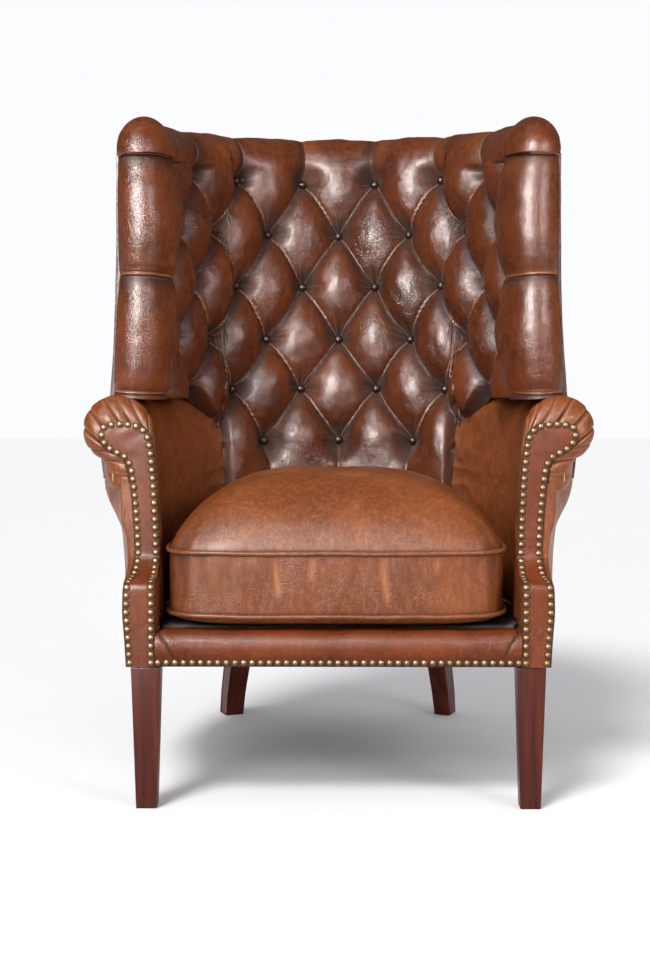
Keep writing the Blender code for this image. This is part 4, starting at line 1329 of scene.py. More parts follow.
@dataclass
class Facing:
    """One arm's nailed front: the block below the ledge, the ledge, the column and its scroll."""

    barrel: Barrel
    finishes: Finishes
    side: Side
    inner_x: float = 0.2830
    outer_x: float = 0.3265
    foot_z: float = 0.2225
    ledge_front_z: float = 0.350
    ledge_back_z: float = 0.383
    setback: float = 0.0785
    crown: float = 0.0016
    nail_inset: float = 0.0062
    nail_pitch: float = 0.0130
    nail_radius: float = 0.0056
    nail_rise: float = 0.0034
    nail_row_z: float = 0.2285
    thickness: float = 0.0036
    cheek_thickness: float = 0.0024
    cheek_foot_z: float = 0.2775
    cheek_top_z: float = 0.380
    paces: int = 150
    outer_x_low: tuple[float, ...] = (
        0.3280, 0.3300, 0.3335, 0.3325, 0.3315, 0.3305, 0.3270, 0.3245, 0.3235, 0.3230
    )

    def edges(self) -> tuple[Array, Array]:
        """The inner and the outer edge, as matching rows of x, depth and z."""
        front, back = 0.0003, self.setback - 0.0042
        ledge = [
            (front, self.foot_z), (front, 0.262), (front, 0.305), (front, self.ledge_front_z - 0.008),
            (front + 0.0025, self.ledge_front_z - 0.001), (front + 0.010, self.ledge_front_z + 0.0025),
            (0.040, 0.3575), (0.060, 0.369),
            (back - 0.004, self.ledge_back_z - 0.004), (back, self.ledge_back_z + 0.006),
        ]
        inner = [(self.inner_x, depth, z) for depth, z in ledge]
        outer = [(x, depth, z) for x, (depth, z) in zip(self.outer_x_low, ledge)]
        column = [
            ((0.2845, 0.440), (0.3250, 0.440)), ((0.2870, 0.500), (0.3300, 0.500)),
            ((0.2895, 0.530), (0.3345, 0.528)), ((0.2920, 0.556), (0.3420, 0.540)),
            ((0.2965, 0.577), (0.3530, 0.5455)), ((0.3035, 0.588), (0.3640, 0.5505)),
            ((0.3140, 0.5945), (0.3735, 0.5585)), ((0.3280, 0.5970), (0.3790, 0.5680)),
            ((0.3430, 0.5975), (0.3800, 0.5770)), ((0.3570, 0.5960), (0.3775, 0.5860)),
        ]
        inner += [(x, back, z) for (x, z), _ in column]
        outer += [(x, back, z) for _, (x, z) in column]
        return np.array(inner), np.array(outer)

    def rail(self, points: Array, count: int) -> Array:
        """An edge made smooth and evenly paced, in the chair's frame."""
        found = np.column_stack([points[:, 0], self.barrel.front_y + points[:, 1], points[:, 2]])
        marks = np.linspace(0, len(points) - 1, count)
        paced = np.stack([np.interp(marks, range(len(points)), found[:, axis]) for axis in range(3)], axis=-1)
        return smoothed(paced, 4)

    def build(self) -> bpy.types.Object:
        """Makes the covered board with its edges turned under."""
        inner, outer = self.edges()
        left, right = self.rail(inner, self.paces), self.rail(outer, self.paces)
        share = np.linspace(0, 1, 19)[None, :, None]
        flat = left[:, None] * (1 - share) + right[:, None] * share
        normal = normals_of(flat)
        rise = self.crown * np.sin(np.pi * share) ** 0.6
        step, column = np.arange(self.paces)[:, None], np.arange(19)[None, :]
        rise = rise + 0.0005 * cloud(step / 9, column / 6, 21)[..., None]
        shown = flat + normal * rise
        mirror = np.array([self.side.value, 1.0, 1.0])
        shape = walled_sheet(shown * mirror, (flat - normal * self.thickness) * mirror)
        edge = np.minimum(share, 1 - share)[..., 0] * np.ones((self.paces, 1))
        # painted shade along both edges of the facing
        marks = {"fold": 0.75 * np.exp(-((edge / 0.07) ** 2))}
        name = f"facing_leather_{self.side.word}"
        piece = add_piece(name, shape, self.finishes.facing, marks=marks, sharp=60.0)
        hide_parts(f"arm_facing_{self.side.word}")
        return piece

    def build_cheek(self) -> bpy.types.Object:
        """Makes the covered side of the block that faces the cushion."""
        depth = np.linspace(0.0040, self.setback, 24)[None, :]
        tops = [self.ledge_front_z - 0.004, self.ledge_front_z, self.cheek_top_z]
        top = np.interp(depth, [0.004, 0.012, self.setback], tops)
        z = self.cheek_foot_z + (top - self.cheek_foot_z) * np.linspace(0, 1, 24)[:, None]
        grid = np.zeros((24, 24, 3))
        puff = 0.0010 * np.sin(np.pi * np.linspace(0, 1, 24))[:, None]
        grid[..., 0] = self.inner_x + 0.0006 - puff
        grid[..., 1] = self.barrel.front_y + depth
        grid[..., 2] = z
        mirror = np.array([self.side.value, 1.0, 1.0])
        behind = grid + np.array([self.cheek_thickness, 0.0, 0.0])
        shape = walled_sheet(grid * mirror, behind * mirror)
        piece = add_piece(f"facing_cheek_{self.side.word}", shape, self.finishes.arm, sharp=60.0)
        return piece

    def nail_line(self) -> tuple[Array, Array]:
        """Where the nails go, up the inner edge, round the head and down the outer edge.

        Returns:
            The places and the ways that the nails face.
        """
        inner, outer = self.edges()
        left, right = self.rail(inner, 2 * self.paces), self.rail(outer, 2 * self.paces)
        across = right - left
        width = np.linalg.norm(across, axis=1, keepdims=True)
        along = np.gradient(left + right, axis=0)
        normal = np.cross(across, along)
        normal /= np.linalg.norm(normal, axis=1, keepdims=True)
        inset = np.minimum(self.nail_inset / width, 0.42)
        up, down = left + across * inset, (right - across * inset)[::-1]
        return np.concatenate([up, down]), np.concatenate([normal, normal[::-1]])

    def build_nails(self) -> bpy.types.Object:
        """Makes the line of brass nails round the facing."""
        path, normal = self.nail_line()
        path[:, 2] = np.maximum(path[:, 2], self.nail_row_z)
        steps = np.linalg.norm(np.diff(path, axis=0), axis=1)
        run = np.concatenate([[0.0], np.cumsum(steps)])
        count = int(round(run[-1] / self.nail_pitch)) + 1
        mirror = np.array([self.side.value, 1.0, 1.0])
        shape = bmesh.new()
        for wanted in np.linspace(0, run[-1], count):
            centre = np.array([np.interp(wanted, run, path[:, axis]) for axis in range(3)])
            faced = np.array([np.interp(wanted, run, normal[:, axis]) for axis in range(3)])
            faced /= np.linalg.norm(faced)
            centre = (centre + 0.0012 * faced) * mirror
            dome(shape, centre, faced * mirror, self.nail_radius, self.nail_rise, 12, 6)
        name = f"brass_nails_{self.side.word}"
        piece = add_piece(name, shape, self.finishes.brass, sharp=50.0, outwards=False)
        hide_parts(f"facing_nails_{self.side.word}")
        return piece


@dataclass
class FrontBorder:
    """The padded roll over the front rail, with its row of nails."""

    barrel: Barrel
    finishes: Finishes
    half: float = 0.2826
    nail_row_z: float = 0.2285
    nail_pitch: float = 0.0132
    nail_radius: float = 0.0056
    nail_rise: float = 0.0034
    end_gap: float = 0.004
    thickness: float = 0.008

    def build(self) -> bpy.types.Object:
        """Makes the roll, mitred by a slanting seam near each end."""
        section = np.array(
            [(0.0030, 0.2225), (0.0030, 0.2290), (0.0022, 0.2350), (-0.0030, 0.2420), (-0.0048, 0.2520),
             (-0.0028, 0.2640), (0.0040, 0.2730), (0.0140, 0.2770), (0.0300, 0.2765), (0.0500, 0.2760)]
        )
        section = smoothed(resampled(section, 44), 3)
        x = np.linspace(-self.half, self.half, 330)
        grid = np.zeros((len(section), len(x), 3))
        grid[..., 0] = x[None, :]
        grid[..., 1] = self.barrel.front_y + section[:, :1]
        grid[..., 2] = section[:, 1:]
        normal = normals_of(grid)
        level = np.linspace(0, 1, len(section))[:, None]
        seam_x = 0.252 + 0.026 * np.clip((level - 0.10) / 0.5, 0, 1)
        away = np.abs(np.abs(x)[None, :] - seam_x)
        seam = np.exp(-((away / 0.0022) ** 2)) * smooth_step(level, 0.10, 0.2)
        height = -0.0024 * seam + 0.0012 * cloud(x[None, :] * 30 + 0 * level, level * 3, 31)
        height = height * smooth_step(level, 0.08, 0.25)
        shown = grid + normal * height[..., None]
        shape = walled_sheet(shown, grid - normal * self.thickness)
        # painted shade along the mitre seams and the roll's foot
        marks = {"fold": np.clip(0.8 * seam + 0.75 * np.exp(-((level / 0.10) ** 2)), 0, 1)}
        piece = add_piece("front_roll", shape, self.finishes.facing, marks=marks, sharp=60.0)
        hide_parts("front_border")
        return piece

    def build_nails(self) -> bpy.types.Object:
        """Makes the row of nails along the rail."""
        end = self.half - self.end_gap
        count = int(round(2 * end / self.nail_pitch)) + 1
        shape = bmesh.new()
        for x in np.linspace(-end, end, count):
            centre = np.array([x, self.barrel.front_y + 0.0018, self.nail_row_z])
            dome(shape, centre, np.array([0.0, -1.0, 0.0]), self.nail_radius, self.nail_rise, 12, 6)
        piece = add_piece("brass_nails_front", shape, self.finishes.brass, sharp=50.0, outwards=False)
        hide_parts("front_rail_nails")
        return piece


# ---------------------------------------------------------------- outside and legs


@dataclass
class OutsideCovers:
    """The plain leather round the outside, in five panels parted by welts."""

    barrel: Barrel
    finishes: Finishes
    back_angle: float = 43.0
    wing_angle: float = 92.0
    arm_top_z: float = 0.500
    crest_gap: float = 0.046
    drawn_in: float = 0.37
    scroll_draw: float = 0.30
    wing_lap: float = 3.0
    tuck_z: float = 0.41
    tuck_angles: tuple[float, float] = (58.0, 108.0)
    scroll_angle: float = 106.0
    front_depth: float = 0.0835
    return_depths: tuple[tuple[float, float], ...] = ((0.346, 0.0045), (0.380, 0.0775))
    return_widths: tuple[tuple[float, float], ...] = (
        (0.2225, 0.3270), (0.30, 0.3320), (0.35, 0.3300), (0.383, 0.3215), (0.50, 0.3285)
    )
    wing_return: float = 0.14
    wing_turn: float = 0.5
    seam_gap: float = 0.2
    thickness: float = 0.0024
    foot_z: float = 0.2224
    welt_radius: float = 0.0028

    def share(self, angle: Array, z: Array) -> Array:
        """How far out the panels lie: flush with the wings, then drawn in under the scrolls."""
        forward = np.abs(angle)
        low = self.drawn_in * (1 - smooth_step(z, self.tuck_z, self.arm_top_z))
        low = low * smooth_step(forward, *self.tuck_angles)
        scroll = self.scroll_draw * smooth_step(forward, self.wing_angle, self.scroll_angle)
        return 1.0 - np.maximum(low, scroll * (z < self.arm_top_z + 0.0005))

    def front_return(self, grid: Array, sign: int) -> Array:
        """Carries an arm's panel on round its front edge, to the nailed facing.

        Args:
            grid: The panel's places, whose last column is its front edge.
            sign: The arm's side.

        Returns:
            The grid with more columns.
        """
        edge = grid[:, -1]
        z = edge[:, 2]
        depth = np.interp(z, *zip(*self.return_depths))
        x = np.interp(z, *zip(*self.return_widths))
        target = np.column_stack([sign * x, self.barrel.front_y + depth, z])
        columns = [grid]
        for share in np.linspace(0.0, 1.0, 15)[1:]:
            place = edge + (target - edge) * share
            place[:, 0] += sign * 0.004 * math.sin(math.pi * share) ** 0.7
            columns.append(place[:, None])
        return np.concatenate(columns, axis=1)

    def panel(
        self, name: str, angles: tuple[float, float], low: float, high: float | None, seed: int
    ) -> bmesh.types.BMesh:
        """One panel between two angles and two heights.

        Args:
            name: "arm" and "wing" panels are carried on round their front edges.
            angles: Where it starts and ends.
            low: Height of its foot.
            high: Height of its top, or None to reach the crest.
            seed: Seed of its slight unevenness.

        Returns:
            The mesh.
        """
        angle = np.linspace(*angles, max(int(abs(angles[1] - angles[0]) * 1.3), 8))[None, :]
        top = self.barrel.rim_z(angle) - self.crest_gap if high is None else np.full(angle.shape, high)
        level = np.linspace(0, 1, int((float(top.max()) - low) / 0.008))[:, None]
        z = low + (top - low) * level
        grid = self.barrel.at(angle + 0 * z, self.share(angle + 0 * z, z), z)
        if name == "arm":
            grid = self.front_return(grid, 1 if angles[0] > 0 else -1)
        if name == "wing":
            columns = [grid]
            for turned in np.linspace(0, np.pi / 2, 9)[1:]:
                share = 1 - self.wing_return * math.sin(turned) + 0 * z[:, :1]
                step = self.wing_turn * math.copysign(1 - math.cos(turned), angles[1])
                further = angles[1] + step + 0 * z[:, :1]
                columns.append(self.barrel.at(further, share, z[:, -1:]))
            grid = np.concatenate(columns, axis=1)
        normal = normals_of(grid)
        run, up = np.arange(grid.shape[1])[None, :] + 0 * grid[..., 2], grid[..., 2]
        across = np.sin(np.pi * np.linspace(0, 1, grid.shape[1]))[None, :]
        edge = np.minimum(np.minimum(level, 1 - level) * 6, 1) * np.abs(across) ** 0.5
        puff = 0.0040 * edge + 0.0014 * edge * cloud(run / 8, up * 9, seed)
        puff = puff + 0.0005 * cloud(run / 2.1, up * 34, seed + 1)
        outward = 1.0 if float((normal[0, 0] * (grid[0, 0] - [0, 0, grid[0, 0, 2]])).sum()) > 0 else -1.0
        shown = grid + outward * normal * puff[..., None]
        inner = grid - outward * normal * self.thickness
        return walled_sheet(shown, inner)

    def welt(self, name: str, angles: Array, z: Array, proud: float = 0.0006) -> bpy.types.Object:
        """A covered cord laid along the panels' seam.

        Args:
            name: The piece's name.
            angles: Angles along the seam.
            z: Heights along the seam.
            proud: How far its middle stands out of the panels.

        Returns:
            The piece.
        """
        path = self.barrel.at(angles, self.share(angles, z), z)
        middle = np.array([0.0, self.barrel.front_y + 0.30, 0.0])
        away = (path - middle) * np.array([1.0, 1.0, 0.0])
        away /= np.linalg.norm(away, axis=1, keepdims=True)
        piece = add_piece(name, sweep(path + proud * away, self.welt_radius), self.finishes.piping)
        return piece

    def build(self) -> list[bpy.types.Object]:
        """Makes the five panels and their welts."""
        front = self.barrel.angle_at_depth(self.front_depth)
        made = []
        back = self.panel("outside_back", (-self.back_angle, self.back_angle), self.foot_z, None, 41)
        pieces = [("back_cover", back, self.finishes.outside, "outside_back", "back_leather")]
        for side in Side:
            sign, word = side.value, side.word
            seam = sign * (self.back_angle + self.seam_gap)
            end = sign * (self.wing_angle + self.wing_lap)
            wing = self.panel("wing", (seam, end), self.arm_top_z + 0.001, None, 43 + sign)
            arm = self.panel("arm", (seam, sign * front), self.foot_z, self.arm_top_z, 47 + sign)
            pieces += [
                (f"wing_cover_{word}", wing, self.finishes.outside, f"outside_wing_{word}", "back_leather"),
                (f"arm_cover_{word}", arm, self.finishes.arm, f"outside_arm_{word}", "arm_leather"),
            ]
        for name, shape, material, node, slot in pieces:
            piece = add_piece(name, shape, material)
            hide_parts(node)
            made.append(piece)
        top = float(self.barrel.rim_z(np.array(self.back_angle))) - self.crest_gap
        levels = np.linspace(self.foot_z + 0.004, top, 60)
        along = np.linspace(self.back_angle + self.seam_gap, self.wing_angle, 40)
        for side in Side:
            corner = np.full(60, side.value * self.back_angle + side.value * 0.1)
            made.append(self.welt(f"back_welt_{side.word}", corner, levels))
            level = np.full(40, self.arm_top_z)
            made.append(self.welt(f"arm_welt_{side.word}", side.value * along, level))
        return made


@dataclass
class Legs:
    """Square tapered front legs and raked back legs, in stained mahogany."""

    barrel: Barrel
    finishes: Finishes
    top_z: float = 0.2217
    front_outer_x: float = 0.3205
    front_top: float = 0.045
    front_foot: float = 0.032
    back_foot: tuple[float, float] = (0.211, 0.690)
    back_top: tuple[float, float] = (0.175, 0.612)
    back_turn: float = 22.0

    def taper(self, name: str, node: str, rings: Sequence[Array]) -> bpy.types.Object:
        """A leg through level square sections, from the foot up, with eased edges."""
        shape = bmesh.new()
        bmesh.ops.create_cube(shape, size=1.0)
        upright = [edge for edge in shape.edges if abs(edge.verts[0].co.z - edge.verts[1].co.z) > 0.5]
        bmesh.ops.subdivide_edges(shape, edges=upright, cuts=len(rings) - 2, use_grid_fill=True)
        levels = sorted({round(corner.co.z, 4) for corner in shape.verts})
        for corner in shape.verts:
            ring = rings[levels.index(round(corner.co.z, 4))]
            corner.co = ring[(0 if corner.co.x < 0 else 1) + (0 if corner.co.y < 0 else 2)]
        keen = [edge for edge in shape.edges if edge.is_manifold and edge.calc_face_angle(0) > 0.8]
        bmesh.ops.bevel(shape, geom=keen, offset=0.0016, affect="EDGES", segments=3, profile=0.5, material=-1)
        piece = add_piece(name, shape, self.finishes.mahogany, sharp=40.0)
        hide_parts(node)
        return piece

    def build(self) -> list[bpy.types.Object]:
        """Makes the four legs."""
        made = []
        corners = np.array([(-0.5, -0.5), (0.5, -0.5), (-0.5, 0.5), (0.5, 0.5)])
        for side in Side:
            sign = side.value
            rings = []
            for share in (0.0, 0.5, 1.0):
                width = self.front_foot + (self.front_top - self.front_foot) * share
                rim = corners * width
                x = sign * (self.front_outer_x - self.front_top / 2) + rim[:, 0]
                y = self.barrel.front_y + self.front_top / 2 + 0.001 + rim[:, 1]
                rings.append(np.column_stack([x, y, np.full(4, self.top_z * share)]))
            made.append(self.taper(f"front_leg_wood_{side.word}", f"front_leg_{side.word}", rings))
            rings = []
            turn = math.radians(self.back_turn)
            for share in np.linspace(0, 1, 6):
                size = 0.80 + 0.20 * share
                bow = share**1.35
                across, along = corners[:, 0] * 0.040 * size, corners[:, 1] * 0.048 * size
                x = self.back_foot[0] + (self.back_top[0] - self.back_foot[0]) * bow
                depth = self.back_foot[1] + (self.back_top[1] - self.back_foot[1]) * bow
                x = x + across * math.cos(turn) + along * math.sin(turn)
                depth = depth - across * math.sin(turn) + along * math.cos(turn)
                z = np.full(4, self.top_z * share)
                rings.append(np.column_stack([sign * x, self.barrel.front_y + depth, z]))
            made.append(self.taper(f"back_leg_wood_{side.word}", f"back_leg_{side.word}", rings))
        return made


# ---------------------------------------------------------------- seat


@dataclass
class SeatDeck:
    """The cloth deck that the cushion lies on."""

    barrel: Barrel
    finishes: Finishes
    middle_depth: float = 0.27
    insets: tuple[tuple[float, float], ...] = (
        (0.02, 0.0), (0.002, 0.12), (0.0, 0.5), (0.002, 0.85), (0.012, 1.0), (0.06, 1.0), (0.5, 1.0)
    )

    def build(self) -> bpy.types.Object:
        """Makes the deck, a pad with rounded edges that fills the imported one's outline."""
        low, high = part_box("seat_deck")
        front = self.barrel.angle_at_depth(low[1] - self.barrel.front_y)
        angle = np.linspace(-front, front, 90)
        rim = self.barrel.at(angle, np.zeros(90), np.full(90, low[2]))
        middle = np.array([0.0, self.barrel.front_y + self.middle_depth, 0.0])
        rings = []
        for inset, share in self.insets:
            ring = rim + (middle - rim) * inset
            ring[:, 2] = low[2] + (high[2] - low[2]) * share
            rings.append(ring)
        piece = add_piece("deck_pad", tube_mesh(np.array(rings)), self.finishes.deck, sharp=40.0)
        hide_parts("seat_deck")
        return piece


@dataclass
class SeatCushion:
    """The loose seat cushion: a stuffed crown, a boxed border, and two lines of piping."""

    barrel: Barrel
    finishes: Finishes
    centre_x: float = -0.0035
    centre_depth: float = 0.220
    half_width: float = 0.2675
    front: float = 0.216
    back: float = 0.256
    top_z: float = 0.398
    low_z: float = 0.300
    crown_z: float = 0.517
    base_z: float = 0.2800
    dome_square: float = 3.0
    dome_round: float = 0.74
    border_creases: tuple[tuple[float, float, float], ...] = (
        (-0.100, 0.012, 0.25), (0.064, 0.016, 0.10), (-0.040, -0.010, 0.55), (0.150, 0.010, 0.60)
    )
    piping_radius: float = 0.0036
    around: int = 360
    pressure: float = 4.0
    most_swell: float = 0.007
    swell_frames: int = 20
    pucker_depth: float = 0.0016
    tuck_depth: float = 0.0035
    crown_ripple: float = 0.0022
    crease_depth: float = 0.0022
    crease_width: float = 0.0042
    seam_shade: float = 0.0045

    def rim(self, size: Array, turn: Array) -> Array:
        """Places on the cushion's plan at a size and a turn round it, as x and y."""
        c, s = np.cos(turn), np.sin(turn)
        power = np.where(s < 0, 2 / 7.0, 2 / 2.35)
        reach = np.where(s < 0, self.front, self.back)
        x = self.half_width * np.sign(c) * np.abs(c) ** power
        y = reach * np.sign(s) * np.abs(s) ** power
        x, y = size * x + self.centre_x, size * y + self.barrel.front_y + self.centre_depth
        return np.stack([x, y], axis=-1)

    def turns(self) -> Array:
        """Turns round the plan, evenly paced along its edge."""
        fine = np.linspace(0, 2 * np.pi, 7201)
        rim = self.rim(np.ones(7201), fine)
        run = np.concatenate([[0.0], np.cumsum(np.linalg.norm(np.diff(rim, axis=0), axis=1))])
        return np.interp(np.linspace(0, run[-1], self.around, endpoint=False), run, fine)

    def levels(self) -> list[tuple[float, float]]:
        """Sizes and heights of the rings, from under the cushion to its crown."""
        found = [(0.05, self.base_z), (0.35, self.base_z), (0.65, self.base_z), (0.85, self.base_z + 0.003)]
        found += [(0.955, self.base_z + 0.010), (0.988, self.low_z - 0.004), (0.992, self.low_z)]
        for share in np.linspace(0.08, 0.92, 12):
            found.append((0.992, self.low_z + (self.top_z - self.low_z) * share))
        found += [(0.992, self.top_z)]
        for share in np.linspace(0.03, 0.9996, 26) ** 1.2:
            size = 0.992 * (1 - share) ** 0.5
            rise = (1 - (size / 0.992) ** self.dome_square) ** self.dome_round
            found.append((size, self.top_z + (self.crown_z - self.top_z) * rise))
        return found

    def swell(self, piece: bpy.types.Object) -> None:
        """Inflates the stuffed cover by cloth simulation, held along its two seams.

        Args:
            piece: The cover, whose places this changes.
        """
        mesh = piece.data
        rest = np.array([corner.co[:] for corner in mesh.vertices])
        held = piece.vertex_groups.new(name="seams")
        for corner in mesh.vertices:
            gap = min(abs(corner.co.z - self.top_z), abs(corner.co.z - self.low_z))
            weight = 1.0 if gap < 0.004 or corner.co.z < self.low_z else 0.0
            held.add([corner.index], weight, "REPLACE")
        cloth = piece.modifiers.new("stuffing", "CLOTH")
        cloth.settings.quality = 5
        cloth.settings.mass = 0.4
        cloth.settings.tension_stiffness = 12
        cloth.settings.compression_stiffness = 12
        cloth.settings.shear_stiffness = 5
        cloth.settings.bending_stiffness = 0.6
        cloth.settings.use_pressure = True
        cloth.settings.uniform_pressure_force = self.pressure
        cloth.settings.vertex_group_mass = "seams"
        cloth.settings.effector_weights.gravity = 0
        cloth.collision_settings.use_collision = False
        cloth.point_cache.frame_start, cloth.point_cache.frame_end = 1, self.swell_frames
        scene = bpy.context.scene
        for frame_number in range(1, self.swell_frames + 1):
            scene.frame_set(frame_number)
        graph = bpy.context.evaluated_depsgraph_get()
        swollen = np.array([corner.co[:] for corner in piece.evaluated_get(graph).data.vertices])
        piece.modifiers.remove(cloth)
        scene.frame_set(1)
        moved = swollen - rest
        length = np.linalg.norm(moved, axis=1, keepdims=True)
        moved *= np.minimum(1.0, self.most_swell / np.maximum(length, 1e-9))
        mesh.vertices.foreach_set("co", (rest + moved).reshape(-1))
        piece.vertex_groups.clear()
        LOG.info("cushion swelled by up to %.1f mm", 1000 * float(np.linalg.norm(moved, axis=1).max()))

    def build(self) -> list[bpy.types.Object]:
        """Makes the cover, stuffs it, creases it, and adds its piping."""
        turns = self.turns()
        rings = []
        for size, z in self.levels():
            flat = self.rim(np.full(self.around, size), turns)
            rings.append(np.column_stack([flat, np.full(self.around, z)]))
        grid = np.array(rings)
        shape = tube_mesh(grid)
        cover = add_piece("cushion_leather", shape, self.finishes.cushion, Body.CUSHION, sharp=180.0)
        self.swell(cover)
        self.crease(cover)
        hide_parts("cushion_cover", "cushion_core")
        made = [cover]
        for word, z in (("top", self.top_z), ("lower", self.low_z)):
            flat = self.rim(np.ones(self.around), turns)
            middle = np.array([0.0, self.barrel.front_y + self.centre_depth])
            away = (flat - middle) / np.linalg.norm(flat - middle, axis=1, keepdims=True)
            flat = flat + 0.0012 * away
            wave = 0.0010 * cloud(np.arange(self.around) / 7, np.full(self.around, z * 9), 57)
            path = np.column_stack([flat, z + wave])
            cord = sweep(path, self.piping_radius, closed=True)
            piece = add_piece(f"piping_{word}", cord, self.finishes.cushion, Body.CUSHION, sharp=180.0)
            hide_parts(f"cushion_piping_{word}")
            made.append(piece)
        return made

    def crease(self, cover: bpy.types.Object) -> None:
        """Adds the border's puckers, the tucks at the front corners and the crown's soft creases, with
        painted shade along both seams and in the tucks.

        Args:
            cover: The stuffed cover, whose places and marks this changes.
        """
        mesh = cover.data
        place = np.array([corner.co[:] for corner in mesh.vertices])
        normal = np.array([corner.normal[:] for corner in mesh.vertices])
        x, z = place[:, 0], place[:, 2]
        centre = self.barrel.front_y + self.centre_depth
        turn = np.arctan2(place[:, 1] - centre, x)
        border = np.clip((z - self.low_z) / (self.top_z - self.low_z), 0, 1)
        on_border = np.sin(np.pi * border) ** 0.5 * (z < self.top_z) * (z > self.low_z)
        along = np.where(place[:, 1] < centre - self.front * 0.9, x, turn * 0.3)
        pucker = cloud(along * 60 + 300, border * 1.2, 61) * on_border
        aside = (np.abs(x) - self.half_width * 0.95) ** 2
        corner = np.exp(-(aside + (place[:, 1] - centre + self.front * 0.93) ** 2) / 0.0016)
        tucks = np.abs(np.sin(turn * 26)) * corner * smooth_step(z, self.low_z, self.top_z)
        crown = np.clip((z - self.top_z) / (self.crown_z - self.top_z), 0, 1)
        soft = cloud(x * 9 + 7, place[:, 1] * 9 + 5, 63) * crown
        soft = soft + 0.5 * cloud(x * 24, place[:, 1] * 20, 64) * crown
        front = (place[:, 1] < centre - self.front * 0.9) * on_border
        lines = np.zeros(x.shape)
        for middle, slant, foot in self.border_creases:
            away = x - middle - slant * (1 - border)
            line = np.exp(-((away / self.crease_width) ** 2)) * smooth_step(border, foot, foot + 0.25)
            lines = np.maximum(lines, line)
        lines = lines * front
        height = self.pucker_depth * pucker - self.tuck_depth * tucks + self.crown_ripple * soft
        height = height - self.crease_depth * lines
        mesh.vertices.foreach_set("co", (place + normal * height[:, None]).reshape(-1))
        over, under = (z - self.top_z) / self.seam_shade, (z - self.low_z) / self.seam_shade
        # painted shade along the two piping seams and in the corner tucks
        fold = np.clip(0.75 * (np.exp(-(over**2)) + np.exp(-(under**2))) + 0.5 * tucks, 0, 1)
        worn = np.clip(0.8 * lines + 0.25 * crown * (soft > 0.25), 0, 1)
        mesh.attributes["fold"].data.foreach_set("value", fold.astype(np.float32))
        mesh.attributes["worn"].data.foreach_set("value", worn.astype(np.float32))
        mesh.update()


# ---------------------------------------------------------------- inside frame and studio


class InsideFrame:
    """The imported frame's own parts that show as they are, each given its finish."""

    @staticmethod
    def dress(finishes: Finishes) -> None:
        """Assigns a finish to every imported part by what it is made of."""
        kinds = {
            "seat_spring": finishes.steel,
            "seat_burlap": finishes.burlap,
            "back_hessian": finishes.burlap,
            "dust_cover": finishes.cambric,
            "cushion_zip": finishes.zip_tape,
        }
        for name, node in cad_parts.items():
            material = next((kind for word, kind in kinds.items() if name.startswith(word)), finishes.beech)
            if not node.material_slots:
                node.data.materials.append(material)
            for slot in node.material_slots:
                slot.material = material


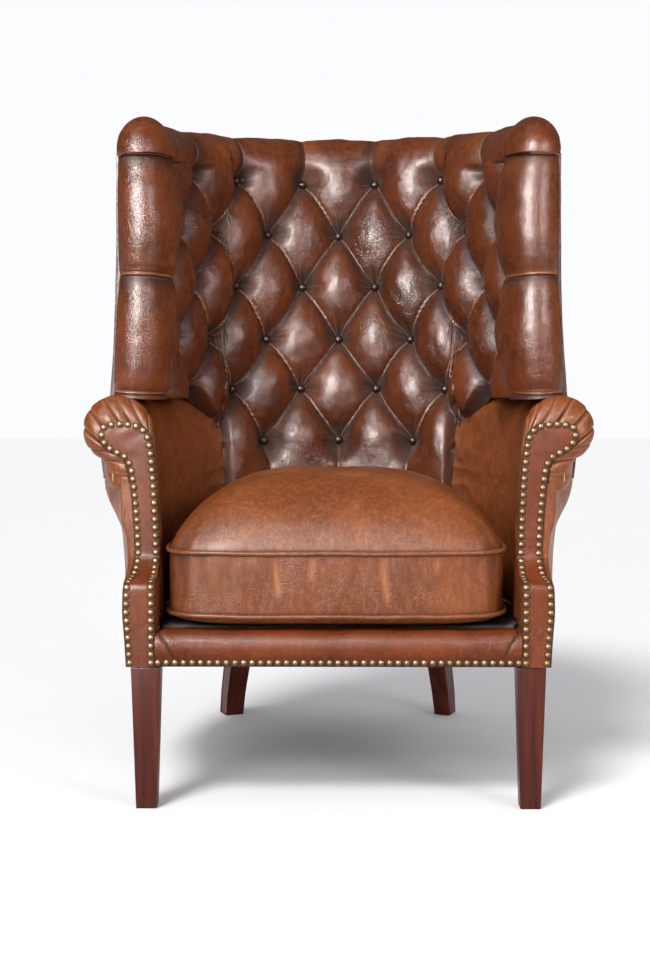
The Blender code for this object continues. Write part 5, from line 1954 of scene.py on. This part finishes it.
@dataclass
class Studio:
    """The plain pale floor, the soft lights and the camera."""

    camera_place: tuple[float, float, float] = (0.0, -2.8223, 0.6895)
    lens: float = 58.91
    pitch: float = 1.98
    yaw: float = 0.48
    shift: float = -0.07
    ambient: float = 0.50
    mirrored: float = 0.10
    sun_strength: float = 1.95
    sun_angle: float = 16.0

    def build(self) -> None:
        """Makes the floor, the backdrop, the lights, the world and the camera."""
        scene = bpy.context.scene
        shape = bmesh.new()
        bmesh.ops.create_grid(shape, x_segments=1, y_segments=1, size=12.0)
        mesh = bpy.data.meshes.new("studio_floor")
        shape.to_mesh(mesh)
        shape.free()
        floor = bpy.data.objects.new("studio_floor", mesh)
        material, board, shader, place = blank_material("pale_floor")
        faint = board.add("ShaderNodeTexNoise", Vector=place, Scale=3.0)
        pale = board.mix((0.93, 0.93, 0.93), (0.95, 0.95, 0.95), faint.outputs[0])
        board.feed(shader.inputs["Base Color"], pale)
        shader.inputs["Roughness"].default_value = 0.85
        shader.inputs["Specular IOR Level"].default_value = 0.0
        mesh.materials.append(material)
        scene.collection.objects.link(floor)
        self.sun("key_sun", (-0.42, -0.80, 1.20), self.sun_strength, self.sun_angle)
        self.lamp("key_softbox", (-1.15, -2.3, 1.60), (0.0, 0.2, 0.8), 0.8, 20.0, (1.0, 0.985, 0.97))
        self.lamp("fill_softbox", (1.8, -2.2, 1.35), (0.0, 0.1, 0.7), 0.9, 22.0, (0.95, 0.97, 1.0))
        self.lamp("left_glint", (-1.05, -2.4, 1.50), (0.0, 0.2, 0.8), 1.1, 420.0, (1.0, 0.96, 0.95), True)
        self.lamp("right_glint", (1.45, -2.2, 1.45), (0.0, 0.2, 0.8), 0.8, 75.0, (0.98, 0.97, 1.0), True)
        world = bpy.data.worlds.new("studio_air")
        world.use_nodes = True
        back = world.node_tree.nodes["Background"]
        back.inputs["Color"].default_value = (0.97, 0.975, 1.0, 1.0)
        air = Board(world.node_tree)
        ray = air.add("ShaderNodeLightPath")
        seen, mirrored = ray.outputs["Is Camera Ray"], ray.outputs["Is Glossy Ray"]
        unseen = air.ranged(mirrored, 0.0, 1.0, self.ambient, self.mirrored)
        air.feed(back.inputs["Strength"], air.maths("MAXIMUM", seen, unseen))
        scene.world = world
        scene.view_settings.view_transform = "Standard"
        lens = bpy.data.cameras.new("studio_camera")
        lens.lens, lens.sensor_fit, lens.sensor_width, lens.sensor_height = self.lens, "AUTO", 36.0, 24.0
        lens.shift_y = self.shift
        camera = bpy.data.objects.new("studio_camera", lens)
        camera.location = self.camera_place
        camera.rotation_euler = (math.radians(90 - self.pitch), 0.0, math.radians(self.yaw))
        scene.collection.objects.link(camera)
        scene.camera = camera

    @staticmethod
    def sun(name: str, towards: tuple, strength: float, angle: float) -> bpy.types.Object:
        """Adds a broad, even light from a direction."""
        light = bpy.data.lights.new(name, "SUN")
        light.energy, light.angle = strength, math.radians(angle)
        made = bpy.data.objects.new(name, light)
        made.rotation_euler = Vector(towards).to_track_quat("Z", "Y").to_euler()
        bpy.context.scene.collection.objects.link(made)
        return made

    @staticmethod
    def lamp(
        name: str, place: tuple, target: tuple, size: float, power: float, colour: Colour, glint: bool = False
    ) -> bpy.types.Object:
        """Adds a square area light that faces a target; a glint only shows as a highlight."""
        light = bpy.data.lights.new(name, "AREA")
        light.size, light.energy, light.color = size, power, colour
        made = bpy.data.objects.new(name, light)
        made.location = place
        made.visible_diffuse = not glint
        made.rotation_euler = (Vector(target) - Vector(place)).to_track_quat("-Z", "Y").to_euler()
        bpy.context.scene.collection.objects.link(made)
        return made


def main() -> None:
    """Builds the chair round its frame and sets up the studio."""
    logging.basicConfig(level=logging.INFO, format="%(name)s: %(message)s")
    finishes = Finishes()
    barrel = Barrel()
    InsideFrame.dress(finishes)
    shell = ButtonedShell(barrel, finishes)
    shell.build()
    shell.build_buttons()
    for side in Side:
        ScrollArm(barrel, finishes, side).build()
        facing = Facing(barrel, finishes, side)
        facing.build()
        facing.build_cheek()
        facing.build_nails()
    border = FrontBorder(barrel, finishes)
    border.build()
    border.build_nails()
    OutsideCovers(barrel, finishes).build()
    Legs(barrel, finishes).build()
    SeatDeck(barrel, finishes).build()
    SeatCushion(barrel, finishes).build()
    Studio().build()


if __name__ == "__main__":
    main()
